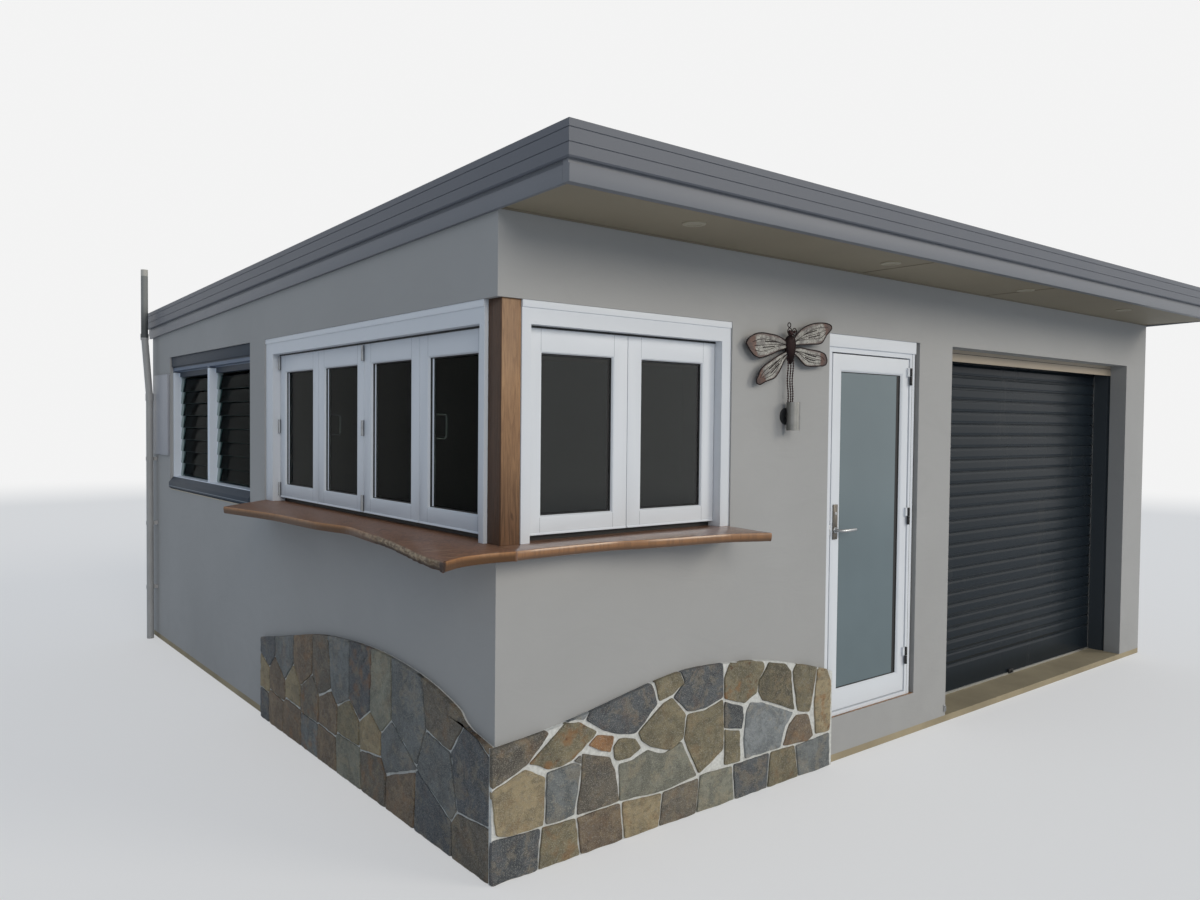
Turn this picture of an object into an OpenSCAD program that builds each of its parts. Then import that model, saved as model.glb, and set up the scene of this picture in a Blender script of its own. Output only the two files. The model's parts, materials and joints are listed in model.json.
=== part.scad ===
// Single-storey rendered garden office pod with a garage bay, a low falling roof and a corner of folding windows.
// Millimetres, +Z up. The front wall runs along X and the side wall along Y, both from the near corner.
// The finished part is moved so that the origin is the middle of the plan, on the underside of the slab.

/* [Building] */
// Length of the front wall
house_length = 6250; // [6000:50:7000]
// Depth of the side wall
house_depth = 5430; // [5200:10:6000]
// Thickness of the rendered walls
wall_thickness = 120; // [120:5:200]
// Thickness of the concrete slab that the walls stand on
slab_thickness = 40; // [30:5:60]
// Level of the office floor above the underside of the slab
floor_level = 245; // [200:5:260]
// Level of the top of every window and door opening
head_level = 2345; // [2320:5:2360]
// Level of the soffit under the front overhang
soffit_level = 2695; // [2680:5:2720]

/* [Roof] */
// Fall of the roof towards the back, in degrees
roof_fall = 1.6; // [1:0.1:2.5]
// Thickness of the insulated roof deck
deck_thickness = 110; // [90:5:140]
// Overhang of the roof over the front wall, to the face of the capping
front_overhang = 500; // [450:10:550]
// Height of the ribbed metal capping
capping_height = 134; // [125:1:150]
// Width of the capping on top
capping_width = 140; // [110:5:160]
// Distance between the ribs of the roof sheet
sheet_pitch = 200; // [150:10:250]
// Height of the ribs of the roof sheet
sheet_rib = 27; // [20:1:35]

/* [Corner windows] */
// Right edge of the front window opening
front_window_end = 1345; // [1200:5:1400]
// Far edge of the side window opening
side_window_end = 2664; // [2500:1:2800]
// Level of the counter's underside
counter_level = 1312; // [1290:1:1330]
// Thickness of the timber counter
counter_thickness = 40; // [30:1:50]
// Width of each side of the corner post
post_width = 95; // [80:1:100]
// Distance of the window frames behind the wall face
frame_recess = 8; // [4:1:12]
// Depth of the window frames
frame_depth = 92; // [80:1:92]
// Width of the stiles of the folding leaves
leaf_stile = 78; // [60:1:85]
// Height of the top rails of the folding leaves
leaf_top_rail = 99; // [80:1:110]
// Height of the bottom rails of the folding leaves
leaf_bottom_rail = 73; // [60:1:90]

/* [Louvre window] */
// Near edge of the louvre window opening
louvre_start = 2941; // [2900:1:3000]
// Far edge of the louvre window opening
louvre_end = 4884; // [4600:1:5000]
// Level of the louvre window's sill
louvre_sill_level = 1290; // [1280:1:1310]
// Number of glass blades in each bay
blade_count = 8; // [7:1:9]
// Tilt of the blades from upright
blade_tilt = 14; // [8:1:20]

/* [Entry door] */
// Left edge of the doorway
door_start = 2103; // [2050:1:2150]
// Right edge of the doorway
door_end = 2967; // [2960:1:2980]
// Thickness of the door leaf
door_thickness = 40; // [36:1:44]

/* [Garage opening] */
// Left edge of the garage opening
garage_start = 3325; // [3300:5:3400]
// Right edge of the garage opening
garage_end = 5895; // [5800:5:5950]
// Distance of the roller curtain behind the wall's outer face
curtain_plane = 245; // [240:1:260]
// Distance between the grooves of the roller curtain
curtain_pitch = 81.7; // [70:0.1:100]

/* [Stone base] */
// How far the stone base stands out from the wall
plinth_projection = 30; // [20:1:45]
// Where the stone base ends on the front wall
plinth_front_end = 2150; // [2000:10:2200]
// Where the stone base ends on the side wall
plinth_side_end = 2660; // [2400:10:2800]

/* [Hidden] */
$fn = 48;

// Levels and lines that follow from the sizes above
wall_base = slab_thickness;
fall_ratio = tan(roof_fall);
// Clearance under a piece that lies on a sloping face
seat = 0.1;
soffit_thickness = 6;
deck_under_front = soffit_level + soffit_thickness;
counter_top = counter_level + counter_thickness;
board_front = -front_overhang + 12;
board_thickness = 40;
side_board_thickness = 18;
side_capping_face = -30;
capping_top = soffit_level + 217;
roof_back = house_depth + 70;
gutter_width = 115;
gutter_height = 90;
inner_length = house_length - wall_thickness;
inner_depth = house_depth - wall_thickness;

// Height of the roof deck's underside and top at a distance y behind the front wall
function deck_under(y) = deck_under_front - fall_ratio * y;
function deck_top(y) = deck_under(y) + deck_thickness;
gutter_top = deck_top(house_depth) - 10;
gutter_back = house_depth + 20 + gutter_width;
// Lower edge of the side fascia at y, level with the front fascia where they meet
function board_foot(y) = soffit_level - fall_ratio * (y - board_front);

// A smooth line through hand-chosen points
smooth_steps = 5;
function corner_point(p, i) = p[max(0, min(len(p) - 1, i))];
function curve_point(a, b, c, d, t) =
    0.5 * ((2 * b) + (c - a) * t + (2 * a - 5 * b + 4 * c - d) * t * t + (3 * b - a - 3 * c + d) * t * t * t);
function smooth(p) = concat(
    [for (i = [0:len(p) - 2], k = [0:smooth_steps - 1])
        curve_point(corner_point(p, i - 1), p[i], p[i + 1], corner_point(p, i + 2), k / smooth_steps)],
    [p[len(p) - 1]]);

// Live edges of the counter: round the corner tip, along the side wall, and along the front wall
counter_tip = [-370, -237];
counter_joint = [0, -149];
tip_edge = [counter_joint, [-81, -140], [-165, -142], [-257, -165], counter_tip];
side_edge = [counter_tip, [-365, -118], [-339, 39], [-254, 451], [-221, 703], [-184, 985], [-208, 1145],
    [-234, 1312], [-255, 1770], [-300, 2079], [-345, 2343]];
front_edge = [counter_joint, [93, -136], [232, -132], [378, -128], [521, -136], [650, -168], [793, -189],
    [1080, -222], [1200, -262], [1300, -305]];

// Top edges of the stone base, as distance along the wall and height
front_stone_line = [[0, 553], [240, 575], [490, 615], [970, 695], [1340, 688], [1640, 652], [1900, 590],
    [plinth_front_end, 518]];
side_stone_line = [[0, 553], [147, 578], [216, 608], [285, 650], [609, 715], [1100, 738], [1700, 690],
    [2300, 570], [plinth_side_end, 500]];

// Where the two outer faces of the corner post stand, and the gap to the window frames beside it
post_side_face = 25;
post_front_face = 12;
post_gap = 2;

// Folding windows
front_jamb_near = 46;
frame_jamb = 62;
side_jamb_near = 40;
side_jamb_far = 115;
side_window_start = post_front_face + post_width + post_gap;
front_window_start = post_side_face + post_width + post_gap;
track_face = 91;
track_height = 19;
head_height = 97;
leaf_gap = 3;
leaf_recess = 55;
leaf_thickness = 42;
leaf_foot = counter_top + 25;
leaf_head = head_level - 101;
glass_thickness = 10;

// Louvre window
louvre_recess = 25;
louvre_depth = 92;
louvre_back = louvre_recess + louvre_depth;
louvre_jamb = 22;
louvre_mullion = 46;
louvre_head_height = 110;
louvre_sill_height = 98;
clip_width = 14;
clip_face = 76;
blade_thickness = 6;
louvre_low = louvre_sill_level + louvre_sill_height;
louvre_high = head_level - louvre_head_height;
blade_foot = louvre_low + 13;
inner_head_foot = louvre_high - 48;
blade_pitch = (inner_head_foot - 20 - blade_foot) / blade_count;
blade_height = blade_pitch + 6;
blade_plane = 100;
louvre_middle = (louvre_start + louvre_end) / 2 + 14;
louvre_bays = [[louvre_start + louvre_jamb, louvre_middle - louvre_mullion / 2],
    [louvre_middle + louvre_mullion / 2, louvre_end - louvre_jamb]];

// Entry door
door_frame_face = 15;
door_frame_depth = 100;
door_face = door_frame_face + 5;
door_left = door_start + 60;
door_right = door_end - 83;
door_foot = floor_level + 27;
door_top = head_level - 104;
door_sill_height = 20;
door_head_height = 97;
door_stile = 69;
door_right_stile = 60;
door_top_rail = 83;
door_bottom_rail = 103;
hinge_x = door_right + 4;
hinge_y = door_frame_face - 9;
hinge_radius = 8;
pin_radius = 4;
pin_clearance = 0.3;
hinge_half = 49;
hinge_levels = [floor_level + 187, floor_level + 1020, floor_level + 1845];
handle_x = door_left + 32;
handle_z = floor_level + 1030;
plate_thickness = 8;
plate_bore = 10;
neck_radius = 9.5;

// Garage opening
guide_width = 60;
guide_depth = 160;
guide_rebate = 22;
slot_depth = 45;
rail_height = 14;
curtain_foot_panel = 180;
drum_radius = 127;
drum_y = curtain_plane + 18 + drum_radius;
drum_z = head_level + 165;

// Moves a piece from the near corner to the middle of the plan
module placed() {
    translate([-house_length / 2, -house_depth / 2, 0]) children();
}

// A box between two corners
module block(low, high) {
    translate(low) cube(high - low);
}

// An outline in Y and Z carried along X from x0 to x1
module along_x(x0, x1) {
    translate([x0, 0, 0]) rotate([90, 0, 90]) linear_extrude(x1 - x0) children();
}

// An outline in X and Z carried along Y from y0 to y1
module along_y(y0, y1) {
    translate([0, y1, 0]) rotate([90, 0, 0]) linear_extrude(y1 - y0) children();
}

// Mirrors a piece to the right end of the building
module right_end() {
    translate([house_length, 0, 0]) mirror([1, 0, 0]) children();
}

module base_slab() {
    color("darkgray") placed() block([0, 0, 0], [house_length, house_depth, slab_thickness]);
}

// Raised floor of the office, with a tongue that fills the doorway
module office_floor() {
    color("burlywood") placed() {
        translate([0, 0, wall_base]) linear_extrude(floor_level - wall_base)
            polygon([[wall_thickness, wall_thickness], [door_start, wall_thickness], [door_start, 0],
                [door_end, 0], [door_end, wall_thickness], [garage_start - 180, wall_thickness],
                [garage_start - 180, inner_depth], [wall_thickness, inner_depth]]);
    }
}

module front_wall_under_window() {
    color("silver") placed() block([0, 0, wall_base], [front_window_end, wall_thickness, counter_level]);
}

module front_wall_piers() {
    spans = [[front_window_end, door_start], [door_end, garage_start], [garage_end, house_length]];
    color("silver") placed() for (span = spans)
        block([span[0], 0, wall_base], [span[1], wall_thickness, head_level]);
}

module front_wall_top() {
    color("silver") placed() along_x(0, house_length)
        polygon([[0, head_level], [wall_thickness, head_level], [wall_thickness, deck_under(wall_thickness)],
            [0, deck_under(0)]]);
}

module side_wall_lower() {
    color("silver") placed() along_x(0, wall_thickness)
        polygon([[wall_thickness, wall_base], [house_depth, wall_base], [house_depth, louvre_sill_level],
            [side_window_end, louvre_sill_level], [side_window_end, counter_level],
            [wall_thickness, counter_level]]);
}

module side_wall_piers() {
    color("silver") placed() for (span = [[side_window_end, louvre_start], [louvre_end, house_depth]])
        block([0, span[0], louvre_sill_level], [wall_thickness, span[1], head_level]);
}

module side_wall_top() {
    color("silver") placed() along_x(0, wall_thickness)
        polygon([[wall_thickness, head_level], [house_depth, head_level], [house_depth, deck_under(house_depth)],
            [wall_thickness, deck_under(wall_thickness)]]);
}

module back_wall() {
    color("silver") placed() along_x(wall_thickness, inner_length)
        polygon([[inner_depth, wall_base], [house_depth, wall_base], [house_depth, deck_under(house_depth)],
            [inner_depth, deck_under(inner_depth)]]);
}

module right_wall() {
    color("silver") placed() along_x(inner_length, house_length)
        polygon([[wall_thickness, wall_base], [house_depth, wall_base], [house_depth, deck_under(house_depth)],
            [wall_thickness, deck_under(wall_thickness)]]);
}

module plinth_front() {
    line = smooth(front_stone_line);
    color("rosybrown") placed() translate([0, 0, 0]) rotate([90, 0, 0]) linear_extrude(plinth_projection)
        polygon(concat([[plinth_front_end, 0], [-plinth_projection, 0], [-plinth_projection, line[0][1]]], line));
}

module plinth_side() {
    line = smooth(side_stone_line);
    color("rosybrown") placed() along_x(-plinth_projection, 0)
        polygon(concat([[plinth_side_end, 0], [0, 0]], line));
}

// Insulated deck from the front fascia to the back wall, falling to the back
module roof_deck() {
    front = board_front + board_thickness;
    color("tan") placed() along_x(0, house_length)
        polygon([[front, deck_under(front) + seat], [house_depth, deck_under(house_depth) + seat],
            [house_depth, deck_top(house_depth)], [front, deck_top(front)]]);
}

// Ribbed metal sheet inside the cappings, carried over the gutter
module roof_sheet() {
    start = capping_width + side_capping_face + 2;
    width = house_length - 2 * start;
    sheet_front = -front_overhang + capping_width + 2;
    sheet_length = (house_depth + 50 - sheet_front) / cos(roof_fall);
    rib_count = floor(width / sheet_pitch);
    margin = (width - (rib_count - 1) * sheet_pitch) / 2;
    pan = 3;
    ribs = [for (i = [rib_count - 1:-1:0]) let (c = start + margin + i * sheet_pitch)
        each [[c + 27, pan], [c + 13, sheet_rib], [c - 13, sheet_rib], [c - 27, pan]]];
    color("gainsboro") placed() translate([0, 0, deck_top(0) + seat]) rotate([-roof_fall, 0, 0])
        along_y(sheet_front, sheet_front + sheet_length)
            polygon(concat([[start, 0], [start + width, 0], [start + width, pan]], ribs, [[start, pan]]));
}

// Section of the capping: face with two grooves and a turned lip, top, and a leg down to the deck
module capping_section(leg) {
    groove = 3;
    skin = 12;
    polygon([[0, 0], [0, -28], [groove, -30], [0, -32], [0, -80], [groove, -82], [0, -84],
        [0, -capping_height + 6], [5, -capping_height], [skin, -capping_height], [skin, -skin],
        [capping_width - skin, -skin], [capping_width - skin, -leg], [capping_width, -leg],
        [capping_width, -4]]);
}

module front_capping() {
    far = house_length - side_capping_face;
    back = -front_overhang + capping_width;
    leg = capping_top - deck_top(back - 12) - seat;
    color("gray") placed() intersection() {
        translate([0, -front_overhang, capping_top]) along_x(side_capping_face, far) capping_section(leg);
        translate([0, 0, capping_top - 200]) linear_extrude(210)
            polygon([[side_capping_face, -front_overhang], [far, -front_overhang],
                [far - capping_width, back], [side_capping_face + capping_width, back]]);
    }
}

// One side capping, mitred into the front one and closed by a plate at the back
module side_capping() {
    run = (roof_back + front_overhang) / cos(roof_fall);
    leg = capping_top - fall_ratio * front_overhang - deck_top(0) - 2 * seat;
    back = -front_overhang + capping_width;
    plate = 4;
    inside = side_capping_face + capping_width;
    intersection() {
        translate([side_capping_face, -front_overhang, capping_top]) rotate([-roof_fall, 0, 0]) {
            along_y(-10, run - plate) capping_section(leg);
            along_y(run - plate, run) polygon([[0, 0], [0, -capping_height], [12, -capping_height],
                [12, -leg], [capping_width, -leg], [capping_width, -4]]);
        }
        translate([0, 0, capping_top - 400]) linear_extrude(410)
            polygon([[side_capping_face, -front_overhang], [inside, back], [inside, roof_back + 20],
                [side_capping_face, roof_back + 20]]);
    }
}

module side_cappings() {
    color("gray") placed() {
        side_capping();
        right_end() side_capping();
    }
}

// Front fascia board with a shadow groove under the capping
module front_fascia() {
    groove_foot = soffit_level + 66;
    color("dimgray") placed() along_x(-side_board_thickness, house_length + side_board_thickness)
        polygon([[board_front, soffit_level], [board_front + board_thickness, soffit_level],
            [board_front + board_thickness, deck_top(board_front)], [board_front, deck_top(board_front)],
            [board_front, groove_foot + 18], [board_front + 8, groove_foot + 18],
            [board_front + 8, groove_foot], [board_front, groove_foot]]);
}

// One side fascia board, fixed to the wall's outer face and falling with the roof
module side_fascia() {
    start = board_front + board_thickness;
    groove = 8;
    face = -side_board_thickness;
    heights = [[face, 0, 66], [face + groove, 66, 84], [face, 84, 130]];
    for (band = heights)
        along_x(band[0], 0)
            polygon([[start, board_foot(start) + band[1]], [roof_back - 30, board_foot(roof_back - 30) + band[1]],
                [roof_back - 30, board_foot(roof_back - 30) + band[2]], [start, board_foot(start) + band[2]]]);
}

module side_fascias() {
    color("dimgray") placed() {
        side_fascia();
        right_end() side_fascia();
    }
}

module back_fascia() {
    color("dimgray") placed()
        block([0, house_depth, board_foot(house_depth) + 4], [house_length, house_depth + 20, deck_top(house_depth) - 2]);
}

// Open box gutter along the back edge
module back_gutter() {
    skin = 4;
    color("dimgray") placed() difference() {
        block([0, house_depth + 20, gutter_top - gutter_height], [house_length, gutter_back, gutter_top]);
        block([skin, house_depth + 20 + skin, gutter_top - gutter_height + skin],
            [house_length - skin, gutter_back - skin, gutter_top + 10]);
    }
}

// Round downpipe below the gutter, with straps to the back wall
module downpipe() {
    radius = 40;
    x = house_length - 300;
    y = house_depth + 20 + gutter_width / 2;
    color("dimgray") placed() {
        translate([x, y, 0]) cylinder(r = radius, h = gutter_top - gutter_height);
        for (z = [500, 1400, 2300]) {
            translate([x, y, z]) cylinder(r = radius + 3, h = 30);
            block([x - 12, house_depth, z], [x + 12, y, z + 30]);
        }
    }
}

// Flat soffit sheets with open joints between them
module soffit() {
    start = board_front + board_thickness;
    joint = 4;
    spans = [[0, 2370], [2370 + joint, 3700], [3700 + joint, house_length]];
    color("darkgray") placed() for (span = spans)
        block([span[0], start, soffit_level], [span[1], 0, soffit_level + soffit_thickness]);
}

module downlights() {
    color("white") placed() for (x = [790, 2220, 3650, 5080])
        translate([x, -290, soffit_level - 5]) difference() {
            cylinder(r = 50, h = 5);
            translate([0, 0, -1]) cylinder(r = 34, h = 3);
        }
}

// Square timber post, with a set-back tongue that closes the corner to both frames
module corner_post() {
    arris = 4;
    left = post_side_face;
    front = post_front_face;
    right = left + post_width;
    far = front + post_width;
    color("saddlebrown") placed() translate([0, 0, counter_top]) linear_extrude(head_level - counter_top)
        polygon([[left, front + arris], [left + arris, front], [right, front], [right, front + 22],
            [front_window_start, front + 22], [front_window_start, side_window_start],
            [left + 22, side_window_start], [left + 22, far], [left, far]]);
}

// Counter wings of one thick slab each, which run under the window frames and meet at the corner
module counter_side() {
    color("sienna") placed() translate([0, 0, counter_level]) linear_extrude(counter_thickness)
        polygon(concat(smooth(tip_edge), smooth(side_edge), [[0, side_window_end], [wall_thickness, side_window_end],
            [wall_thickness, wall_thickness], [0, 0]]));
}

module counter_front() {
    color("sienna") placed() translate([0, 0, counter_level]) linear_extrude(counter_thickness)
        polygon(concat(smooth(front_edge), [[front_window_end, 0], [front_window_end, wall_thickness],
            [wall_thickness, wall_thickness], [0, 0]]));
}

// A frame standing in the XZ plane: outer size, then the widths of its left, right, bottom and top members
module frame_ring(x0, x1, z0, z1, left, right, bottom, top, y0, y1) {
    along_y(y0, y1) difference() {
        polygon([[x0, z0], [x1, z0], [x1, z1], [x0, z1]]);
        polygon([[x0 + left, z0 + bottom], [x1 - right, z0 + bottom], [x1 - right, z1 - top],
            [x0 + left, z1 - top]]);
    }
}

// Turns a piece drawn for the front wall onto the side wall: X becomes Y and Y becomes X
module onto_side() {
    mirror([1, -1, 0]) children();
}

// Frame of a folding window: jambs, a head with a proud top band, and a track set back under the leaves
module folding_frame(start, end, left, right) {
    back = frame_recess + frame_depth;
    inner_head = head_level - head_height;
    along_y(frame_recess, back)
        polygon([[start, counter_top], [start + left, counter_top], [start + left, inner_head],
            [end - right, inner_head], [end - right, counter_top], [end, counter_top], [end, head_level],
            [start, head_level]]);
    block([start + left, track_face, counter_top], [end - right, back, counter_top + track_height]);
    block([start, frame_recess - 5, head_level - 30], [end, frame_recess, head_level]);
}

// Leaves of a folding window between two lines, as separate glazed frames
module folding_leaves(start, end, count) {
    pitch = (end - start) / count;
    for (i = [0:count - 1])
        frame_ring(start + i * pitch + leaf_gap / 2, start + (i + 1) * pitch - leaf_gap / 2, leaf_foot, leaf_head,
            leaf_stile, leaf_stile, leaf_bottom_rail, leaf_top_rail, leaf_recess, leaf_recess + leaf_thickness);
}

module folding_glass(start, end, count) {
    pitch = (end - start) / count;
    middle = leaf_recess + leaf_thickness / 2;
    for (i = [0:count - 1])
        block([start + i * pitch + leaf_gap / 2 + leaf_stile, middle - glass_thickness / 2,
                leaf_foot + leaf_bottom_rail],
            [start + (i + 1) * pitch - leaf_gap / 2 - leaf_stile, middle + glass_thickness / 2,
                leaf_head - leaf_top_rail]);
}

side_leaf_start = side_window_start + side_jamb_near + 2;
side_leaf_end = side_window_end - side_jamb_far - 2;
front_leaf_start = front_window_start + front_jamb_near + 2;
front_leaf_end = front_window_end - frame_jamb - 2;

module side_window_frame() {
    color("white") placed() onto_side()
        folding_frame(side_window_start, side_window_end, side_jamb_near, side_jamb_far);
}

module side_window_leaves() {
    color("white") placed() onto_side() folding_leaves(side_leaf_start, side_leaf_end, 4);
}

module side_window_glass() {
    color("lightblue") placed() onto_side() folding_glass(side_leaf_start, side_leaf_end, 4);
}

module front_window_frame() {
    color("white") placed() folding_frame(front_window_start, front_window_end, front_jamb_near, frame_jamb);
}

module front_window_leaves() {
    color("white") placed() folding_leaves(front_leaf_start, front_leaf_end, 2);
}

module front_window_glass() {
    color("lightblue") placed() folding_glass(front_leaf_start, front_leaf_end, 2);
}

// Knuckles of the folding windows, on the outer face of the leaves
module window_hinges() {
    middle = (side_leaf_start + side_leaf_end) / 2;
    height = 80;
    levels = [leaf_foot + 10, (leaf_foot + leaf_head) / 2 - height / 2, leaf_head - height - 10];
    radius = 8;
    color("silver") placed() for (y = [middle, side_leaf_end - radius], z = levels)
        translate([leaf_recess - radius, y, z]) cylinder(r = radius, h = height);
}

// Louvre frame: stepped head, jambs, mullion and a sloping sill that laps over the wall
module louvre_frame() {
    color("slategray") placed() onto_side() {
        frame_ring(louvre_start, louvre_end, louvre_sill_level, head_level, louvre_jamb, louvre_jamb,
            louvre_sill_height, louvre_head_height, louvre_recess, louvre_back);
        block([louvre_middle - louvre_mullion / 2, louvre_recess, louvre_low],
            [louvre_middle + louvre_mullion / 2, louvre_back, louvre_high]);
        block([louvre_start, louvre_recess - 12, head_level - 76], [louvre_end, louvre_recess, head_level]);
        block([louvre_start + louvre_jamb, clip_face - 8, inner_head_foot],
            [louvre_end - louvre_jamb, louvre_back, louvre_high]);
        along_x(louvre_start, louvre_end) polygon([[louvre_recess, louvre_sill_level], [louvre_recess, louvre_low - 1],
            [-12, louvre_low - 47], [-12, louvre_low - 86], [4, louvre_sill_level]]);
    }
}

// Tilted glass blades, each lapping the one below on the outside
module louvre_blades() {
    color("lightcyan") placed() onto_side() for (bay = louvre_bays, i = [0:blade_count - 1])
        translate([0, blade_plane, blade_foot + (i + 0.5) * blade_pitch]) rotate([-blade_tilt, 0, 0])
            block([bay[0] + clip_width + 1, -blade_thickness / 2, -blade_height / 2],
                [bay[1] - clip_width - 1, blade_thickness / 2, blade_height / 2]);
}

// Toothed clip strips that hold the ends of the blades
module louvre_clips() {
    teeth = [for (i = [0:blade_count - 1]) let (z = blade_foot + i * blade_pitch)
        each [[clip_face, z + 2], [clip_face + 8, z + blade_pitch - 4]]];
    outline = concat([[louvre_back, louvre_low], [clip_face + 4, louvre_low]], teeth,
        [[clip_face + 4, inner_head_foot], [louvre_back, inner_head_foot]]);
    color("lightslategray") placed() onto_side() for (bay = louvre_bays, x = [bay[0], bay[1] - clip_width])
        along_x(x, x + clip_width) polygon(outline);
}

// Door frame: jambs and head with inner stops, a low sill and a proud cover band
module door_frame() {
    back = door_frame_face + door_frame_depth;
    stop_face = door_face + door_thickness + 6;
    edge = door_end - 29;
    left = door_left - 16 - door_start;
    right = edge - door_right - 7;
    color("white") placed() {
        frame_ring(door_start, edge, floor_level, head_level, left, right, door_sill_height,
            door_head_height, door_frame_face, back);
        frame_ring(door_start + left, edge - right, floor_level + door_sill_height, head_level - door_head_height,
            24, 12, 0.01, 13, stop_face, back);
        block([edge, door_frame_face + 15, floor_level], [door_end, back, head_level]);
        block([door_start, door_frame_face - 9, head_level - 69], [edge, door_frame_face, head_level]);
    }
}

module door_leaf() {
    color("white") placed() frame_ring(door_left, door_right, door_foot, door_top, door_stile, door_right_stile,
        door_bottom_rail, door_top_rail, door_face, door_face + door_thickness);
}

module door_glass() {
    middle = door_face + door_thickness / 2;
    color("lightslategray") placed()
        block([door_left + door_stile, middle - 5, door_foot + door_bottom_rail],
            [door_right - door_right_stile, middle + 5, door_top - door_top_rail]);
}

// Handle plates on both faces of the leaf, each with a round hole for the lever's neck
module door_plates() {
    inner = door_face + door_thickness;
    color("silver") placed() for (y = [door_face - plate_thickness, inner])
        difference() {
            block([handle_x - 17, y, handle_z - 50], [handle_x + 19, y + plate_thickness, handle_z + 140]);
            translate([handle_x, y - 1, handle_z]) rotate([-90, 0, 0]) cylinder(r = plate_bore, h = plate_thickness + 2);
        }
}

// One lever on its neck, with the neck from y0 to y1 and the bar at the outer end
module lever_side(neck_start, neck_end, bar_y) {
    translate([handle_x, neck_start, handle_z]) rotate([-90, 0, 0]) cylinder(r = neck_radius, h = neck_end - neck_start);
    translate([handle_x, bar_y, handle_z]) rotate([0, 90, 0]) cylinder(r = 9, h = 130);
    translate([handle_x, bar_y, handle_z]) sphere(r = neck_radius);
    translate([handle_x + 130, bar_y, handle_z]) sphere(r = 9);
}

module door_lever() {
    outer = door_face - plate_thickness;
    inner = door_face + door_thickness + plate_thickness;
    color("silver") placed() {
        lever_side(outer - 50, outer + 6, outer - 50);
        lever_side(inner - 6, inner + 50, inner + 50);
    }
}

// Fixed halves of the door hinges: lower knuckle, flag on the frame and the pin
module frame_hinges() {
    color("silver") placed() for (z = hinge_levels) {
        translate([hinge_x, hinge_y, z]) cylinder(r = hinge_radius, h = hinge_half);
        translate([hinge_x, hinge_y, z]) cylinder(r = pin_radius, h = 2 * hinge_half - 2);
        block([hinge_x, hinge_y + 2, z], [hinge_x + 24, door_frame_face, z + hinge_half]);
    }
}

// Moving halves of the door hinges: upper knuckle with a bore for the pin, and a flag on the leaf
module leaf_hinges() {
    color("silver") placed() for (z = hinge_levels) difference() {
        union() {
            translate([hinge_x, hinge_y, z + hinge_half + 2]) cylinder(r = hinge_radius, h = hinge_half);
            block([hinge_x - 26, hinge_y + 2, z + hinge_half + 2], [hinge_x, door_face, z + 2 * hinge_half + 2]);
        }
        translate([hinge_x, hinge_y, z + hinge_half]) cylinder(r = pin_radius + pin_clearance, h = hinge_half + 10);
    }
}

// Steel curtain with a plain panel at its foot and broad ribs between narrow grooves above it
module roller_curtain() {
    skin = 6;
    groove = 12;
    low = wall_base + rail_height;
    count = floor((drum_z - low - curtain_foot_panel) / curtain_pitch);
    grooves = [for (i = [0:count - 1]) let (z = low + curtain_foot_panel + i * curtain_pitch)
        each [[0, z - 11], [groove, z - 6], [groove, z + 6], [0, z + 11]]];
    inner = [for (i = [len(grooves) - 1:-1:0]) [grooves[i][0] + skin, grooves[i][1]]];
    top = low + curtain_foot_panel + count * curtain_pitch;
    color("dimgray") placed() along_x(garage_start - slot_depth + 3, garage_end + slot_depth - 3)
        translate([curtain_plane, 0])
            polygon(concat([[skin, low], [0, low]], grooves, [[0, top], [skin, top]], inner));
}

module roller_bottom_rail() {
    color("silver") placed()
        block([garage_start + 5, curtain_plane - 7, wall_base], [garage_end - 5, curtain_plane + 25, wall_base + rail_height]);
}

// Steel guides on the inner face of the wall, with a slot for the curtain
module roller_guides() {
    color("dimgray") placed() for (side = [0, 1]) {
        x = side == 0 ? garage_start : garage_end;
        way = side == 0 ? -1 : 1;
        translate([x, 0, wall_base]) turned(way) linear_extrude(head_level + 30 - wall_base)
            polygon([[12, wall_thickness], [guide_width, wall_thickness], [guide_width, wall_thickness + guide_depth],
                [0, wall_thickness + guide_depth], [0, curtain_plane + 20], [slot_depth, curtain_plane + 20],
                [slot_depth, curtain_plane - 2], [0, curtain_plane - 2], [0, wall_thickness + guide_rebate],
                [12, wall_thickness + guide_rebate]]);
    }
}

// Points a shape drawn towards +X the other way when way is -1
module turned(way) {
    if (way < 0) mirror([1, 0, 0]) children();
    else children();
}

module roller_head_board() {
    color("wheat") placed()
        block([garage_start, wall_thickness, head_level - 75], [garage_end, wall_thickness + 20, head_level + 150]);
}

// The rolled-up part of the curtain on its axle, between two brackets on the wall
module roller_drum() {
    plate = 10;
    ends = [garage_start - guide_width, garage_end + guide_width - plate];
    color("dimgray") placed() {
        translate([garage_start - slot_depth + 3, drum_y, drum_z]) rotate([0, 90, 0])
            cylinder(r = drum_radius, h = garage_end - garage_start + 2 * slot_depth - 6);
        translate([ends[0], drum_y, drum_z]) rotate([0, 90, 0]) cylinder(r = 20, h = ends[1] - ends[0] + plate);
        for (x = ends)
            block([x, wall_thickness, drum_z - 110], [x + plate, drum_y + 40, drum_z + 110]);
    }
}

// Up-and-down wall light: round base on the wall, short arm and a cylinder open at both ends
module wall_light() {
    x = 1745;
    low = floor_level + 1575;
    high = floor_level + 1720;
    middle = (low + high) / 2;
    recess = 6;
    axis = 53;
    color("silver") placed() {
        translate([x, 0, middle]) rotate([90, 0, 0]) cylinder(r = 43, h = 12);
        translate([x, 0, middle]) rotate([90, 0, 0]) cylinder(r = 12, h = axis);
        translate([x, -axis, low]) difference() {
            cylinder(r = 34.5, h = high - low);
            translate([0, 0, -1]) cylinder(r = 30, h = 1 + recess);
            translate([0, 0, high - low - recess]) cylinder(r = 30, h = 1 + recess);
        }
    }
}

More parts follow.
